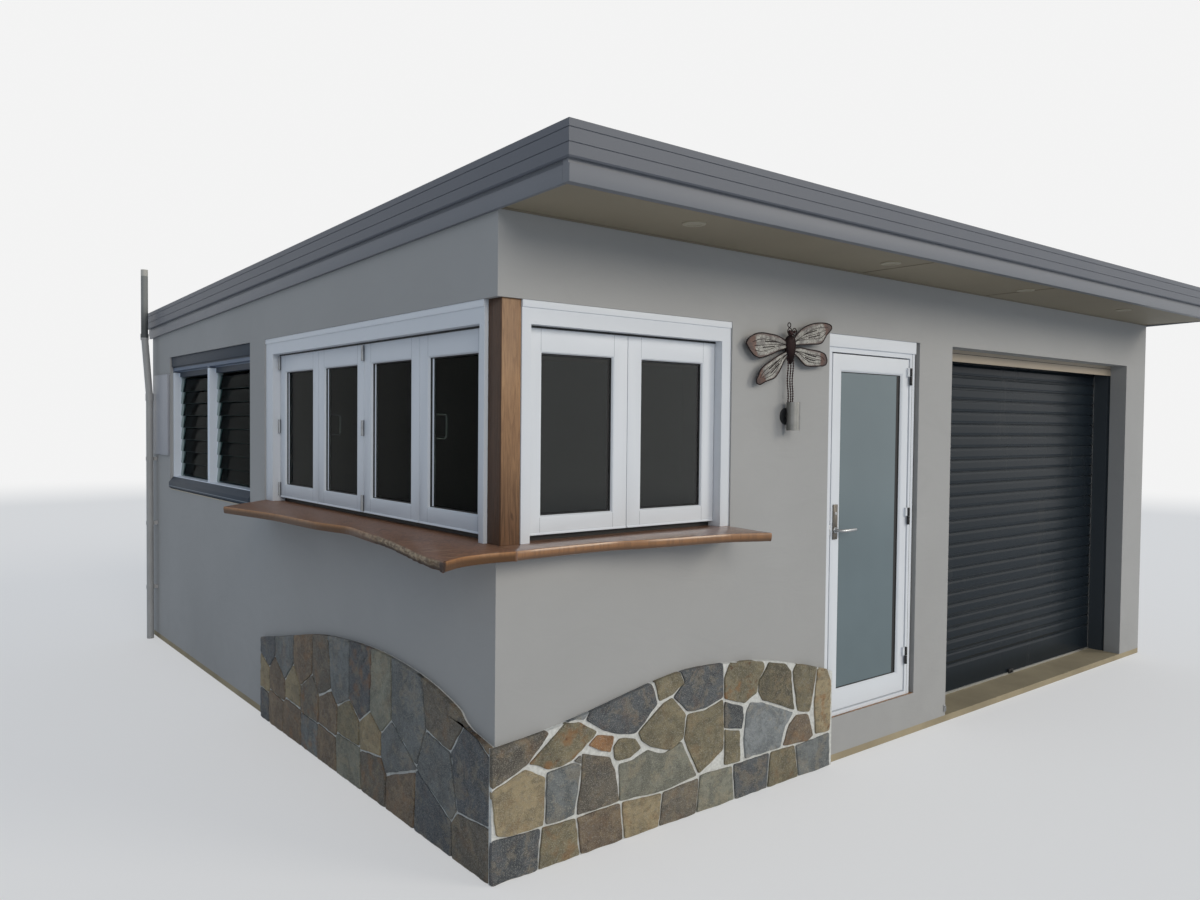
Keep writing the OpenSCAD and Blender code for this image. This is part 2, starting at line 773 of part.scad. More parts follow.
// Outline of one wing: a long drop that starts at the body
function wing_outline(reach, width) = [for (a = [0:15:345])
    [reach * (1 - cos(a)) / 2, width / 2 * sin(a) * (0.55 + 0.45 * (1 - cos(a)) / 2)]];

// Dragonfly of sheet and wire, held off the wall by two pins
module dragonfly_ornament() {
    x = 1737;
    y = -34;
    shoulder = floor_level + 1994;
    wings = [[330, 118, 180.5, -12, 14], [350, 100, 16, 12, 16], [262, 88, 215, -12, -22], [285, 85, -9, 14, -20]];
    strands = [[-12, -60, 7, -272], [0, -60, 15, -276], [12, -60, 23, -272]];
    color("sienna") placed() translate([x, y, shoulder]) {
        for (wing = wings)
            translate([wing[3], 2, wing[4]]) rotate([90, 0, 0]) rotate([0, 0, wing[2]]) linear_extrude(4)
                polygon(wing_outline(wing[0], wing[1]));
        translate([0, 0, -80]) cylinder(r1 = 13, r2 = 25, h = 85);
        translate([0, 0, 5]) cylinder(r1 = 25, r2 = 12, h = 50);
        translate([0, 0, 70]) sphere(r = 21);
        translate([0, 2, 102]) rotate([90, 0, 0]) difference() {
            cylinder(r = 12, h = 4);
            translate([0, 0, -1]) cylinder(r = 7.5, h = 6);
        }
        for (s = strands) let (run = s[2] - s[0], drop = s[1] - s[3])
            translate([s[0], 0, s[1]]) rotate([0, 180 - atan2(run, drop), 0]) cylinder(r = 4.5, h = norm([run, drop]));
        translate([0, 0, -20]) rotate([-90, 0, 0]) cylinder(r = 4, h = -y);
        translate([9.5, 0, -200]) rotate([-90, 0, 0]) cylinder(r = 4, h = -y);
    }
}

// Vent pipe beside the side wall: upright at the wall, leaning out past the roof edge, and upright above it
module vent_pipe() {
    radius = 27;
    collar = 31;
    low_x = -58;
    high_x = -94;
    y = 5300;
    bend = 2035;
    upper_bend = 2530;
    top = 3088;
    lean = atan2(low_x - high_x, upper_bend - bend);
    color("silver") placed() {
        translate([low_x, y, 0]) cylinder(r = radius, h = bend + 10);
        translate([low_x, y, bend]) rotate([0, -lean, 0])
            cylinder(r = radius, h = norm([low_x - high_x, upper_bend - bend]));
        translate([high_x, y, upper_bend - 10]) difference() {
            cylinder(r = radius, h = top - upper_bend + 10);
            translate([0, 0, top - upper_bend + 2]) cylinder(r = radius - 4, h = 9);
        }
        translate([low_x, y, bend - 35]) cylinder(r = collar, h = 60);
        translate([high_x, y, upper_bend - 25]) cylinder(r = collar, h = 50);
        for (z = [420, 960, 1500]) {
            translate([low_x, y, z]) cylinder(r = radius + 3, h = 30);
            block([low_x, y - 12, z], [0, y + 12, z + 30]);
        }
    }
}

// Bare board on the side wall
module notice_board() {
    color("whitesmoke") placed() block([-16, 4900, 1555], [0, 5335, 2212]);
}

base_slab();
office_floor();
front_wall_under_window();
front_wall_piers();
front_wall_top();
side_wall_lower();
side_wall_piers();
side_wall_top();
back_wall();
right_wall();
plinth_front();
plinth_side();
roof_deck();
roof_sheet();
front_capping();
side_cappings();
front_fascia();
side_fascias();
back_fascia();
back_gutter();
downpipe();
soffit();
downlights();
corner_post();
counter_side();
counter_front();
side_window_frame();
side_window_leaves();
side_window_glass();
front_window_frame();
front_window_leaves();
front_window_glass();
window_hinges();
louvre_frame();
louvre_blades();
louvre_clips();
door_frame();
door_leaf();
door_glass();
door_plates();
door_lever();
frame_hinges();
leaf_hinges();
roller_curtain();
roller_bottom_rail();
roller_guides();
roller_head_board();
roller_drum();
wall_light();
dragonfly_ornament();
vent_pipe();
notice_board();
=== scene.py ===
"""Garden office pod: finishes and small pieces around its frame, a studio floor, lamps and a camera."""

import json
import math
import random

import bmesh
import bpy
from mathutils import Matrix, Vector, noise

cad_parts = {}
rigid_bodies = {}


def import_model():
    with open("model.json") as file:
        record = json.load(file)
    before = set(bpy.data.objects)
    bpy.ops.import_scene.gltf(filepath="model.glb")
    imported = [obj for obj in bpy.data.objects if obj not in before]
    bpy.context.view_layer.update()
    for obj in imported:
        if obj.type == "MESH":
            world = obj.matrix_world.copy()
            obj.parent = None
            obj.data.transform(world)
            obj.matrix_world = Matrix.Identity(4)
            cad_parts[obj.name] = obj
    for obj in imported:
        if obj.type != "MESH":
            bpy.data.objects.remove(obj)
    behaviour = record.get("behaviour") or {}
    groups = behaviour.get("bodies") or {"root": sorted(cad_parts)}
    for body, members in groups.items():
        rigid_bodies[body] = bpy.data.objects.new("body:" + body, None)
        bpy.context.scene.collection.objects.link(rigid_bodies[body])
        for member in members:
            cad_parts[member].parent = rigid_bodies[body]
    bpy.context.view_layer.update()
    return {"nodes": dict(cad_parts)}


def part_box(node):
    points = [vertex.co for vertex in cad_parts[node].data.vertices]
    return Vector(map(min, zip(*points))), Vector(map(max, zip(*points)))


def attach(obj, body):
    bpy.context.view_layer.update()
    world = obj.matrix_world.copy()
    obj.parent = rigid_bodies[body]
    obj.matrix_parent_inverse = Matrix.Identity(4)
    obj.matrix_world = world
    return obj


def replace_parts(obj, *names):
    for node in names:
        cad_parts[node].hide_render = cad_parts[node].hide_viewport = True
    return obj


bl_info = {
    "name": "Garden office pod",
    "version": (1, 0, 0),
    "blender": (4, 5, 0),
    "location": "View3D > Sidebar > Pod",
    "description": "Dresses the frame of a garden office pod with its finishes and small pieces",
    "category": "Object",
}

MM = 0.001

# Edges sharper than this are eased, and CAD facets flatter than the next angle are one face
SHARP_ANGLE, FLAT_ANGLE = math.radians(35), math.radians(0.5)
WELD_DISTANCE = 0.02 * MM
# The louvre window's mullion: how far it stands beyond the middle, and half its width
MULLION_SHIFT, MULLION_HALF = 0.014, 0.038
# Lower ends of the entry door's hinges above the ground
HINGE_LEVELS = (0.432, 1.265, 2.090)
# First groove of the roller curtain above its foot, and the height where the grooves end
FIRST_GROOVE, LAST_GROOVE = 0.18, 2.26
# Distances along the front wall
DOWNLIGHTS = (0.790, 2.220, 3.650, 5.080)
SOFFIT_JOINTS = (2.37, 3.70)
FRONT_SCREWS = (0.117, 1.6, 3.1, 4.6, 6.1)
# Distances along the side wall
SIDE_SCREWS = (-0.177, -0.048, 1.3, 2.6, 3.9, 5.2)
ROOF_FALL = math.radians(1.6)
# How far the door lever's drawn path stands out
LEVER_REACH = 0.046

for leftover in list(bpy.data.objects):
    bpy.data.objects.remove(leftover)

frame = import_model()

# The near corner of the walls at ground level, and the levels that other pieces follow
corner = Vector((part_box("side_wall_lower")[0].x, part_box("front_wall_piers")[0].y, 0))
counter_low, counter_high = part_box("counter_side")[0].z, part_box("counter_side")[1].z
soffit_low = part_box("soffit")[0].z


class Wall:
    """A wall face. It places points given as distance along it, distance out of it, and height."""

    def __init__(self, along, out):
        self.along = Vector(along)
        self.out = Vector(out)

    def __call__(self, along, out, up):
        return corner + self.along * along + self.out * out + Vector((0, 0, up))

    def span(self, node):
        """Where a node lies: lowest and highest distance along, out and up."""
        ends = [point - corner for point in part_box(node)]
        axes = (self.along, self.out, Vector((0, 0, 1)))
        return [tuple(sorted(end.dot(axis) for end in ends)) for axis in axes]


FRONT = Wall((1, 0, 0), (0, -1, 0))
SIDE = Wall((0, 1, 0), (-1, 0, 0))


def paint(red, green, blue):
    """A colour given as screen values from 0 to 255, as the linear one that a shader takes."""
    def linear(value):
        share = value / 255
        return share / 12.92 if share <= 0.04045 else ((share + 0.055) / 1.055) ** 2.4
    return (linear(red), linear(green), linear(blue))


def shade(colour, amount):
    """A colour made lighter or darker."""
    return tuple(channel * amount for channel in colour[:3])


def colour_property(name, description, default):
    return bpy.props.FloatVectorProperty(
        name=name, description=description, subtype="COLOR", size=3, min=0, max=1, default=default)


def length_property(name, description, default):
    return bpy.props.FloatProperty(
        name=name, description=description, subtype="DISTANCE", unit="LENGTH", min=0, default=default)


class PodColours(bpy.types.PropertyGroup):
    """Colours of the finishes"""
    render: colour_property("Wall render", "Painted render of the walls", paint(163, 163, 162))
    concrete: colour_property("Concrete", "Slab and threshold", paint(160, 148, 122))
    capping: colour_property("Capping", "Ribbed metal capping of the roof edge", paint(98, 102, 110))
    fascia: colour_property("Fascia", "Painted boards under the capping", paint(118, 121, 127))
    soffit: colour_property("Soffit", "Sheets under the overhang", paint(142, 132, 112))
    roof_sheet: colour_property("Roof sheet", "Ribbed sheet on the deck", paint(176, 178, 178))
    frames: colour_property("Frames", "Powder coat of windows and entry door", paint(218, 222, 227))
    louvre: colour_property("Louvre frame", "Metal of the louvre window", paint(222, 229, 238))
    post_light: colour_property("Post, worn", "Corner post where the stain has worn", paint(194, 154, 112))
    post_dark: colour_property("Post, stained", "Corner post where the stain has kept", paint(90, 62, 42))
    counter: colour_property("Counter", "Oiled top of the counter", paint(134, 97, 74))
    counter_edge: colour_property("Counter edge", "Varnished front edge of the counter", paint(136, 94, 54))
    floor_board: colour_property("Floor boards", "Boards of the office floor", paint(150, 112, 78))
    roller: colour_property("Roller door", "Painted steel of the roller curtain", paint(31, 38, 44))
    head_board: colour_property("Head board", "Board over the roller curtain", paint(172, 159, 140))
    door_glass: colour_property("Door glass", "Obscure glass of the entry door", paint(100, 115, 120))
    mortar: colour_property("Mortar", "Joints of the stone base", paint(208, 209, 205))
    copper: colour_property("Copper", "Tips of the ornament's wings", paint(88, 56, 44))


class PodSizes(bpy.types.PropertyGroup):
    """Sizes of the small pieces"""
    easing: length_property("Easing", "Radius of eased edges on frames and boards", 0.002)
    timber_easing: length_property("Timber easing", "Radius of eased edges on the post", 0.004)
    mortar_width: length_property("Joint width", "Mortar between the stones", 0.013)
    stone_relief: length_property("Stone relief", "How far the stones stand out of the mortar", 0.009)
    gasket: length_property("Gasket", "Width of the black glazing gaskets", 0.004)
    bead: length_property("Glazing bead", "Width of the glazing beads", 0.013)
    screw: length_property("Screw head", "Radius of the roof screws' heads", 0.005)
    slat_pitch: length_property("Slat pitch", "Height of one rib of the roller curtain", 0.0817)
    slat_depth: length_property("Slat depth", "Depth of the roller curtain's grooves", 0.011)
    wire: length_property("Wire", "Radius of the ornament's wires", 0.0032)


class PodStage(bpy.types.PropertyGroup):
    """Floor, lamps and camera"""
    floor: colour_property("Floor", "Studio floor", (0.80, 0.80, 0.80))
    backdrop: colour_property("Backdrop", "Pale background", (0.90, 0.90, 0.90))
    floor_radius: length_property("Floor radius", "Size of the round floor", 60.0)
    fade_start: length_property("Fade start", "Where the floor starts to fade into the background", 9.0)
    fade_end: length_property("Fade end", "Where the floor has become the background", 26.0)
    sky: bpy.props.FloatProperty(name="Soft light", description="Strength of the light from all sides",
                                 default=0.45)
    key: bpy.props.FloatProperty(name="Key light", description="Strength of the soft key light",
                                 default=1.05)
    camera_place: bpy.props.FloatVectorProperty(
        name="Camera", description="Place of the camera at eye height", subtype="TRANSLATION", unit="LENGTH",
        default=(-5.0964, -5.8132, 1.8455))
    heading: bpy.props.FloatProperty(
        name="Heading", description="Turn of the view to the right of the Y axis", subtype="ANGLE",
        default=math.radians(38.866))
    pitch: bpy.props.FloatProperty(
        name="Pitch", description="Tilt of the view above the horizon", subtype="ANGLE",
        default=math.radians(-1.636))
    roll: bpy.props.FloatProperty(
        name="Roll", description="Turn of the camera about its own view", subtype="ANGLE",
        default=math.radians(0.564))
    lens: bpy.props.FloatProperty(name="Lens", description="Focal length for a 36 mm film", default=27.67)


def arithmetic(operation, swapped=False):
    """A method for a Math node of an output and another value. Swapped, the other value comes first."""
    def method(self, other):
        values = (other, self) if swapped else (self, other)
        return self.maths(operation, *values)
    return method


def single(operation):
    """A method that feeds an output alone to a Math node."""
    def method(self):
        return self.maths(operation, self)
    return method


class Socket:
    """One output of a node. Arithmetic with numbers and other outputs adds Math nodes."""
    __add__, __radd__ = arithmetic("ADD"), arithmetic("ADD", True)
    __sub__, __rsub__ = arithmetic("SUBTRACT"), arithmetic("SUBTRACT", True)
    __mul__, __rmul__ = arithmetic("MULTIPLY"), arithmetic("MULTIPLY", True)
    __truediv__ = arithmetic("DIVIDE")
    above = arithmetic("GREATER_THAN")
    larger = arithmetic("MAXIMUM")
    smaller = arithmetic("MINIMUM")
    fraction = single("FRACT")
    whole = single("FLOOR")
    size = single("ABSOLUTE")
    sine = single("SINE")

    def __init__(self, graph, output):
        self.graph = graph
        self.output = output

    def other(self, name):
        """Another output of the same node."""
        return Socket(self.graph, self.output.node.outputs[name])

    def maths(self, operation, *values):
        return self.graph.node("ShaderNodeMath", {"operation": operation}, dict(enumerate(values)))

    def between(self, low, high):
        """A smooth step from 0 at low to 1 at high."""
        return self.graph.node("ShaderNodeMapRange", {"interpolation_type": "SMOOTHSTEP"},
                               {0: self, 1: low, 2: high, 3: 0.0, 4: 1.0})


class Graph:
    """Adds nodes to a tree."""

    def __init__(self, tree):
        self.tree = tree

    def node(self, kind, settings=None, values=None, output=0):
        """Adds a node: its settings first, then the values or links of its sockets."""
        made = self.tree.nodes.new(kind)
        for name, setting in (settings or {}).items():
            setattr(made, name, setting)
        for name, value in (values or {}).items():
            self.feed(made.inputs[name], value)
        return Socket(self, made.outputs[output]) if made.outputs else made

    def feed(self, target, value):
        if isinstance(value, Socket):
            self.tree.links.new(value.output, target)
        elif target.type == "RGBA":
            target.default_value = (*value[:3], 1)
        else:
            target.default_value = value


class Finish(Graph):
    """Shader of one finish, with the patterns that the finishes share."""

    def __init__(self, name):
        self.material = bpy.data.materials.new(name)
        self.material.use_nodes = True
        self.material.node_tree.nodes.clear()
        super().__init__(self.material.node_tree)
        self.place = self.node("ShaderNodeTexCoord", output="Object")

    def stretched(self, x=1.0, y=1.0, z=1.0, turn=(0, 0, 0)):
        """Object coordinates scaled along each axis, so that a pattern is drawn out or packed together."""
        return self.node("ShaderNodeMapping", None,
                         {"Vector": self.place, "Scale": (x, y, z), "Rotation": turn})

    def noise(self, scale, detail=3.0, roughness=0.5, place=None, distortion=0.0):
        return self.node("ShaderNodeTexNoise", None, {
            "Vector": place or self.place, "Scale": scale, "Detail": detail, "Roughness": roughness,
            "Distortion": distortion})

    def cells(self, scale, feature="F1"):
        return self.node("ShaderNodeTexVoronoi", {"feature": feature},
                         {"Vector": self.place, "Scale": scale}, output="Distance")

    def facing(self, axis):
        """How far a face looks along an axis, from -1 to 1."""
        return self.axis(axis, self.node("ShaderNodeNewGeometry", output="Normal"))

    def axis(self, name, place=None):
        return self.node("ShaderNodeSeparateXYZ", None, {"Vector": place or self.place}, output=name)

    def attribute(self, name, output="Fac"):
        return self.node("ShaderNodeAttribute", {"attribute_name": name}, output=output)

    def mix(self, share, first, second, blend="MIX"):
        """A colour between two others."""
        return self.node("ShaderNodeMix", {"data_type": "RGBA", "blend_type": blend},
                         {0: share, 6: first, 7: second}, output=2)

    def shades(self, share, colour, low, high):
        """Two shades of one colour, mixed."""
        return self.mix(share, shade(colour, low), shade(colour, high))

    def bump(self, height, depth, before=None):
        values = {"Height": height, "Distance": depth, "Strength": 1.0}
        if before is not None:
            values["Normal"] = before
        return self.node("ShaderNodeBump", None, values)

    def close(self, colour, roughness=0.5, metallic=0.0, normal=None, **constants):
        """Joins everything to one Principled shader and gives back the material."""
        values = {"Base Color": colour, "Roughness": roughness, "Metallic": metallic}
        if normal is not None:
            values["Normal"] = normal
        values.update({name.replace("_", " ").title().replace("Ior", "IOR"): value
                       for name, value in constants.items()})
        shader = self.node("ShaderNodeBsdfPrincipled", None, values)
        self.node("ShaderNodeOutputMaterial", None, {"Surface": shader})
        return self.material


def painted_render(look):
    """Fine-trowelled render under masonry paint: soft clouds, trowel sweeps and a sandy grain."""
    finish = Finish("painted_render")
    clouds = finish.noise(0.8, 4)
    sweeps = finish.noise(2.6, 3, 0.55, finish.stretched(1, 1, 2.2), 1.2)
    grain = finish.noise(420, 2)
    height = finish.axis("Z")
    splash = (1 - height.between(0.05, 0.75)) * finish.noise(5, 5).between(0.35, 0.75)
    tone = finish.shades(clouds.between(0.3, 0.7), look.render, 0.955, 1.035)
    tone = finish.mix(sweeps.between(0.45, 0.8) * 0.35, tone, shade(look.render, 0.93))
    tone = finish.mix(splash * 0.2, tone, shade(look.render, 0.74))
    normal = finish.bump(sweeps, 0.0035)
    normal = finish.bump(grain, 0.00035, normal)
    return finish.close(tone, 0.82 + grain * 0.1, normal=normal)


def concrete(look):
    """Steel-floated concrete with fine pits and stains."""
    finish = Finish("concrete")
    stains = finish.noise(2.2, 6, 0.6)
    pits = finish.cells(130)
    grain = finish.noise(300, 3)
    tone = finish.shades(stains.between(0.3, 0.72), look.concrete, 0.8, 1.1)
    tone = finish.mix(grain.between(0.4, 0.7) * 0.3, tone, shade(look.concrete, 0.7))
    normal = finish.bump(pits.between(0.0, 0.25) + grain * 0.4, 0.0007)
    return finish.close(tone, 0.9, normal=normal)


def coated_metal(name, colour, roughness=0.38, dust=0.25, dust_tone=(0.42, 0.40, 0.36), sheen=0.5):
    """Powder-coated or baked paint on metal: orange peel, faint streaks and settled dust."""
    finish = Finish(name)
    peel = finish.noise(850, 2)
    streaks = finish.noise(6, 4, 0.6, finish.stretched(1, 1, 0.12))
    clouds = finish.noise(3.1, 5)
    up = finish.facing("Z").between(0.2, 0.95)
    dirt = (up * 0.8 + streaks.between(0.5, 0.8) * 0.35) * clouds.between(0.25, 0.75)
    tone = finish.shades(clouds, colour, 0.965, 1.03)
    tone = finish.mix(dirt * dust, tone, dust_tone)
    return finish.close(tone, roughness + dirt * 0.3 + peel * 0.05, normal=finish.bump(peel, 0.00006),
                        specular_ior_level=sheen)


def board_paint(name, colour):
    """Roller-painted boards: long faint brush lines and small nicks."""
    finish = Finish(name)
    lines = finish.noise(60, 3, 0.5, finish.stretched(0.06, 0.06, 1))
    clouds = finish.noise(2.0, 5)
    tone = finish.shades(clouds.between(0.3, 0.7), colour, 0.95, 1.05)
    tone = finish.mix(lines.between(0.55, 0.8) * 0.25, tone, shade(colour, 0.86))
    return finish.close(tone, 0.55 + clouds * 0.1, normal=finish.bump(lines, 0.0003))


def timber(name, dark, light, grain_scale, roughness, sheen=0.0, turn=(0, 0, 0), foot=None, edge=None,
           edge_shade_levels=(0.1, 0.6), stain_and_shade_side=False, figure=0.55):
    """Timber with its grain along Z before the turn: growth rings, fibres, pores and an uneven stain. It can
    add painted shade on the face turned to -X, and on a counter edge painted shade low down and a painted
    highlight along the top arris.
    """
    finish = Finish(name)
    bent = finish.stretched(1, 1, 0.055, turn)
    fine = finish.stretched(1, 1, 0.012, turn)
    broad = finish.noise(grain_scale, 3, 0.5, bent, 0.8)
    rings = (broad * 9).fraction()
    rings = rings.between(0.0, 0.75) * (1 - rings.between(0.82, 1.0))
    fibres = finish.noise(grain_scale * 26, 4, 0.65, fine)
    pores = finish.noise(grain_scale * 60, 2, 0.5, fine).between(0.6, 0.72)
    stain = finish.noise(2.4, 4, 0.5)
    tone = finish.mix(rings * figure + fibres * (1 - figure), dark, light)
    tone = finish.mix(stain.between(0.3, 0.75) * 0.5, tone, shade(dark, 1.25))
    tone = finish.mix(pores * 0.6, tone, shade(dark, 0.45))
    if foot is not None:
        low = 1 - finish.axis("Z").between(*foot)
        tone = finish.mix(low * 0.75, tone, finish.mix(rings, shade(dark, 0.45), shade(dark, 1.1)))
    # Painted shade over the real stain: the face turned to -X is made darker.
    if stain_and_shade_side:
        facing = finish.facing("X")
        kept = finish.mix(rings * 0.5 + stain * 0.5, shade(dark, 0.3), shade(dark, 0.75))
        tone = finish.mix(1 - facing.between(-0.7, -0.3), tone, kept)
    rough = roughness + fibres * 0.12
    if edge is not None:
        bark = finish.attribute("bark")
        knobs = finish.noise(75, 5, 0.65, finish.stretched(1, 0.3, 1))
        end = finish.attribute("end_grain")
        polish = finish.attribute("polish")
        rise = counter_high - counter_low
        level = (finish.axis("Z") - counter_low) / rise
        scratches = finish.noise(70, 3, 0.6, finish.stretched(0.1, 1, 1, (0, 0, 0.5))).between(0.58, 0.7)
        worn = 1 - finish.axis("Y").between(corner.y + 0.05, corner.y + 0.9)
        tone = finish.mix(scratches * worn * 0.5, tone, paint(176, 152, 130))
        side = finish.shades(rings, edge, 0.86, 1.12)
        # Painted shade: the edge is made darker towards its foot, where the rounded edge turns down.
        side = finish.mix(level.between(*edge_shade_levels), shade(edge, 0.38), side)
        # Painted highlight: a lighter band along the top arris.
        side = finish.mix(level.between(0.84, 0.92) * 0.6, side, shade(edge, 1.5))
        tone = finish.mix(polish, tone, side)
        bark_and_shade = finish.mix(knobs.between(0.35, 0.7), paint(98, 80, 62), paint(176, 156, 128))
        # Painted shade: the bark is made dark brown towards its foot.
        bark_and_shade = finish.mix(level.between(0.25, 0.6), paint(62, 46, 34), bark_and_shade)
        tone = finish.mix(bark, tone, bark_and_shade)
        tone = finish.mix(end, tone, finish.mix(fibres, paint(26, 17, 13), paint(58, 38, 26)))
        rough = rough + bark * 0.35 + end * 0.2
        normal = finish.bump(knobs * bark, 0.0025)
        normal = finish.bump(rings * 0.4 + fibres * 0.6 - pores, 0.0004, normal)
    else:
        normal = finish.bump(rings * 0.4 + fibres * 0.6 - pores, 0.0005)
    return finish.close(tone, rough, normal=normal, coat_weight=sheen, coat_roughness=0.22,
                        specular_ior_level=0.3)


def riven_stone(look):
    """Riven slate and sandstone. Each stone carries its own colour, rust and coarseness."""
    finish = Finish("riven_stone")
    base = finish.attribute("stone_colour", "Color")
    rust = finish.attribute("rust")
    broad = finish.noise(7, 6, 0.65, distortion=1.0)
    patches = finish.noise(9, 7, 0.75, distortion=0.5)
    flakes = finish.noise(40, 6, 0.75, distortion=0.3)
    layers = finish.noise(20, 8, 0.78, finish.stretched(1, 1, 1.8))
    grit = finish.noise(230, 4, 0.7)
    dark = finish.mix(1.0, base, (0.42, 0.43, 0.45), "MULTIPLY")
    tone = finish.mix(broad.between(0.42, 0.60) * 0.65, base, dark)
    tone = finish.mix(patches.between(0.52, 0.58) * 0.42, tone, finish.mix(0.5, base, paint(170, 152, 118)))
    tone = finish.mix(flakes.between(0.55, 0.60) * 0.4, tone, finish.mix(0.6, base, paint(108, 112, 116)))
    tone = finish.mix(layers.between(0.53, 0.57) * 0.5, tone, dark)
    tone = finish.mix(grit.between(0.50, 0.62) * 0.5, tone, finish.mix(0.5, base, (0.62, 0.60, 0.52)))
    tone = finish.mix(finish.noise(12, 5, 0.6).between(0.5, 0.66) * rust * 0.8, tone, paint(138, 98, 58))
    tone = finish.mix(finish.noise(31, 4, 0.6).between(0.58, 0.7) * rust * 0.8, tone, paint(92, 58, 36))
    normal = finish.bump(layers, 0.008)
    normal = finish.bump(flakes, 0.003, normal)
    normal = finish.bump(grit, 0.001, normal)
    return finish.close(tone, 0.68 + grit * 0.2, normal=normal)


def joint_mortar(look):
    """Bagged pale mortar."""
    finish = Finish("joint_mortar")
    lumps = finish.noise(60, 5, 0.6)
    sand = finish.noise(700, 2)
    tone = finish.shades(lumps.between(0.3, 0.7), look.mortar, 0.82, 1.08)
    normal = finish.bump(lumps, 0.003)
    normal = finish.bump(sand, 0.0004, normal)
    return finish.close(tone, 0.93, normal=normal)


def clear_glass(name, tint, bend, roughness=0.02):
    """Tinted glass with a thin film of dust. The bend of light, its IOR, sets how strongly it mirrors."""
    finish = Finish(name)
    film = finish.noise(4, 5, 0.6)
    return finish.close(finish.mix(film, shade(tint, 0.9), tint), roughness + film * 0.015,
                        transmission_weight=1.0, ior=bend)


def obscure_glass(look):
    """Acid-etched glass: a soft even tone with a slightly pearly surface."""
    finish = Finish("obscure_glass")
    clouds = finish.noise(1.2, 3)
    etched = finish.noise(900, 2)
    tone = finish.shades(clouds.between(0.3, 0.7), look.door_glass, 0.93, 1.06)
    return finish.close(tone, 0.22 + etched * 0.06, normal=finish.bump(etched, 0.00003), coat_weight=0.25,
                        coat_roughness=0.04)


def bare_metal(name, tone, roughness=0.3, brushed=(1, 1, 0.02), dirt=0.2):
    """Brushed or cast metal with fine lines along one way."""
    finish = Finish(name)
    lines = finish.noise(900, 3, 0.6, finish.stretched(*brushed))
    marks = finish.noise(26, 5, 0.65)
    colour = finish.mix(marks.between(0.45, 0.8) * dirt, shade(tone, 1.0), shade(tone, 0.45))
    return finish.close(colour, roughness + lines * 0.12 + marks * 0.08, 1.0,
                        normal=finish.bump(lines, 0.00005))


def plain_plastic(name, tone, roughness=0.45, sheen=0.5):
    """Moulded plastic or rubber with a fine spark-eroded surface."""
    finish = Finish(name)
    grain = finish.noise(600, 3)
    clouds = finish.noise(5, 4)
    colour = finish.shades(clouds, tone, 0.9, 1.08)
    return finish.close(colour, roughness + grain * 0.1, normal=finish.bump(grain, 0.0001),
                        specular_ior_level=sheen)


def floor_boards(look):
    """Boards laid along Y, each with its own tone."""
    finish = Finish("floor_boards")
    board_width = 0.13
    across = finish.axis("X") / board_width
    number = across.whole()
    groove = (across.fraction() - 0.5).size().between(0.47, 0.5)
    tone_of_board = (number * 12.9898).sine() * 43758.5
    fibres = finish.noise(90, 4, 0.6, finish.stretched(1, 0.05, 1))
    tone = finish.shades(tone_of_board.fraction(), look.floor_board, 0.72, 1.15)
    tone = finish.mix(fibres.between(0.4, 0.8) * 0.5, tone, shade(look.floor_board, 0.55))
    tone = finish.mix(groove, tone, shade(look.floor_board, 0.15))
    return finish.close(tone, 0.4 + fibres * 0.15, normal=finish.bump(1 - groove, 0.002))


def wing_film(look):
    """Lacquered film of the wings: pale with a fine dark net, coppery at the tip and brown at the rim."""
    finish = Finish("wing_film")
    tip, rim = finish.attribute("tip"), finish.attribute("rim")
    patches = finish.noise(26, 4)
    net = 1 - finish.cells(70, "DISTANCE_TO_EDGE").between(0.015, 0.07)
    edge = (rim + patches * 0.3).between(0.86, 1.08)
    tone = finish.mix(patches.between(0.4, 0.65), paint(162, 161, 154), paint(116, 114, 111))
    tone = finish.mix(edge * 0.85, tone, paint(78, 54, 50))
    tone = finish.mix((tip + patches * 0.16).between(0.84, 0.90), tone, look.copper)
    tone = finish.mix((tip + patches * 0.3).between(1.0, 1.08) * 0.7, tone, paint(52, 36, 33))
    tone = finish.mix(net * 0.85, tone, paint(58, 48, 46))
    return finish.close(tone, 0.45, normal=finish.bump(net, 0.0004))


def lamp_steel():
    """Satin steel of the wall light, with fine upright lines and a dark base at the wall."""
    finish = Finish("lamp_steel")
    lines = finish.noise(900, 3, 0.6, finish.stretched(1, 1, 0.02))
    marks = finish.noise(30, 4)
    base = (finish.axis("Y") - (corner.y - 0.0125)).above(0.0)
    tone = finish.mix(marks.between(0.4, 0.8) * 0.4, paint(136, 137, 135), paint(96, 96, 94))
    tone = finish.mix(base, tone, paint(44, 46, 48))
    return finish.close(tone, 0.28 + lines * 0.12 + marks * 0.05, 1.0 - base,
                        normal=finish.bump(lines, 0.00005))


def louvre_paint(look):
    """Powder coat of the louvre window: pale jambs between a darker head and sill, with painted shade in the
    recess above the blades.
    """
    finish = Finish("louvre_powder_coat")
    peel, clouds = finish.noise(850, 2), finish.noise(5, 4)
    up, along = finish.axis("Z"), finish.axis("Y") - corner.y
    start, end = SIDE.span("louvre_blades")[0]
    away = along - ((start + end) / 2 + MULLION_SHIFT)
    # Painted shade: inside the bays, the band between the blades' top and the head is made dark, as the shaded
    # recess.
    head = up.above(2.168) * away.size().above(MULLION_HALF) * along.above(start) * (1 - along.above(end))
    dark = up.above(2.222).larger(1 - up.above(1.384)).larger(head)
    tone = finish.shades(clouds, look.louvre, 0.95, 1.03)
    tone = finish.mix(dark, tone, finish.mix(clouds, paint(54, 62, 72), paint(66, 75, 86)))
    tone = finish.mix(up.above(2.226) * (1 - up.above(2.258)), tone, paint(112, 123, 140))
    tone = finish.mix(up.between(1.310, 1.3105) * (1 - up.between(1.3155, 1.316)), tone,
                      paint(122, 130, 138))
    return finish.close(tone, 0.4 + clouds * 0.1, normal=finish.bump(peel, 0.00006), specular_ior_level=0.05)


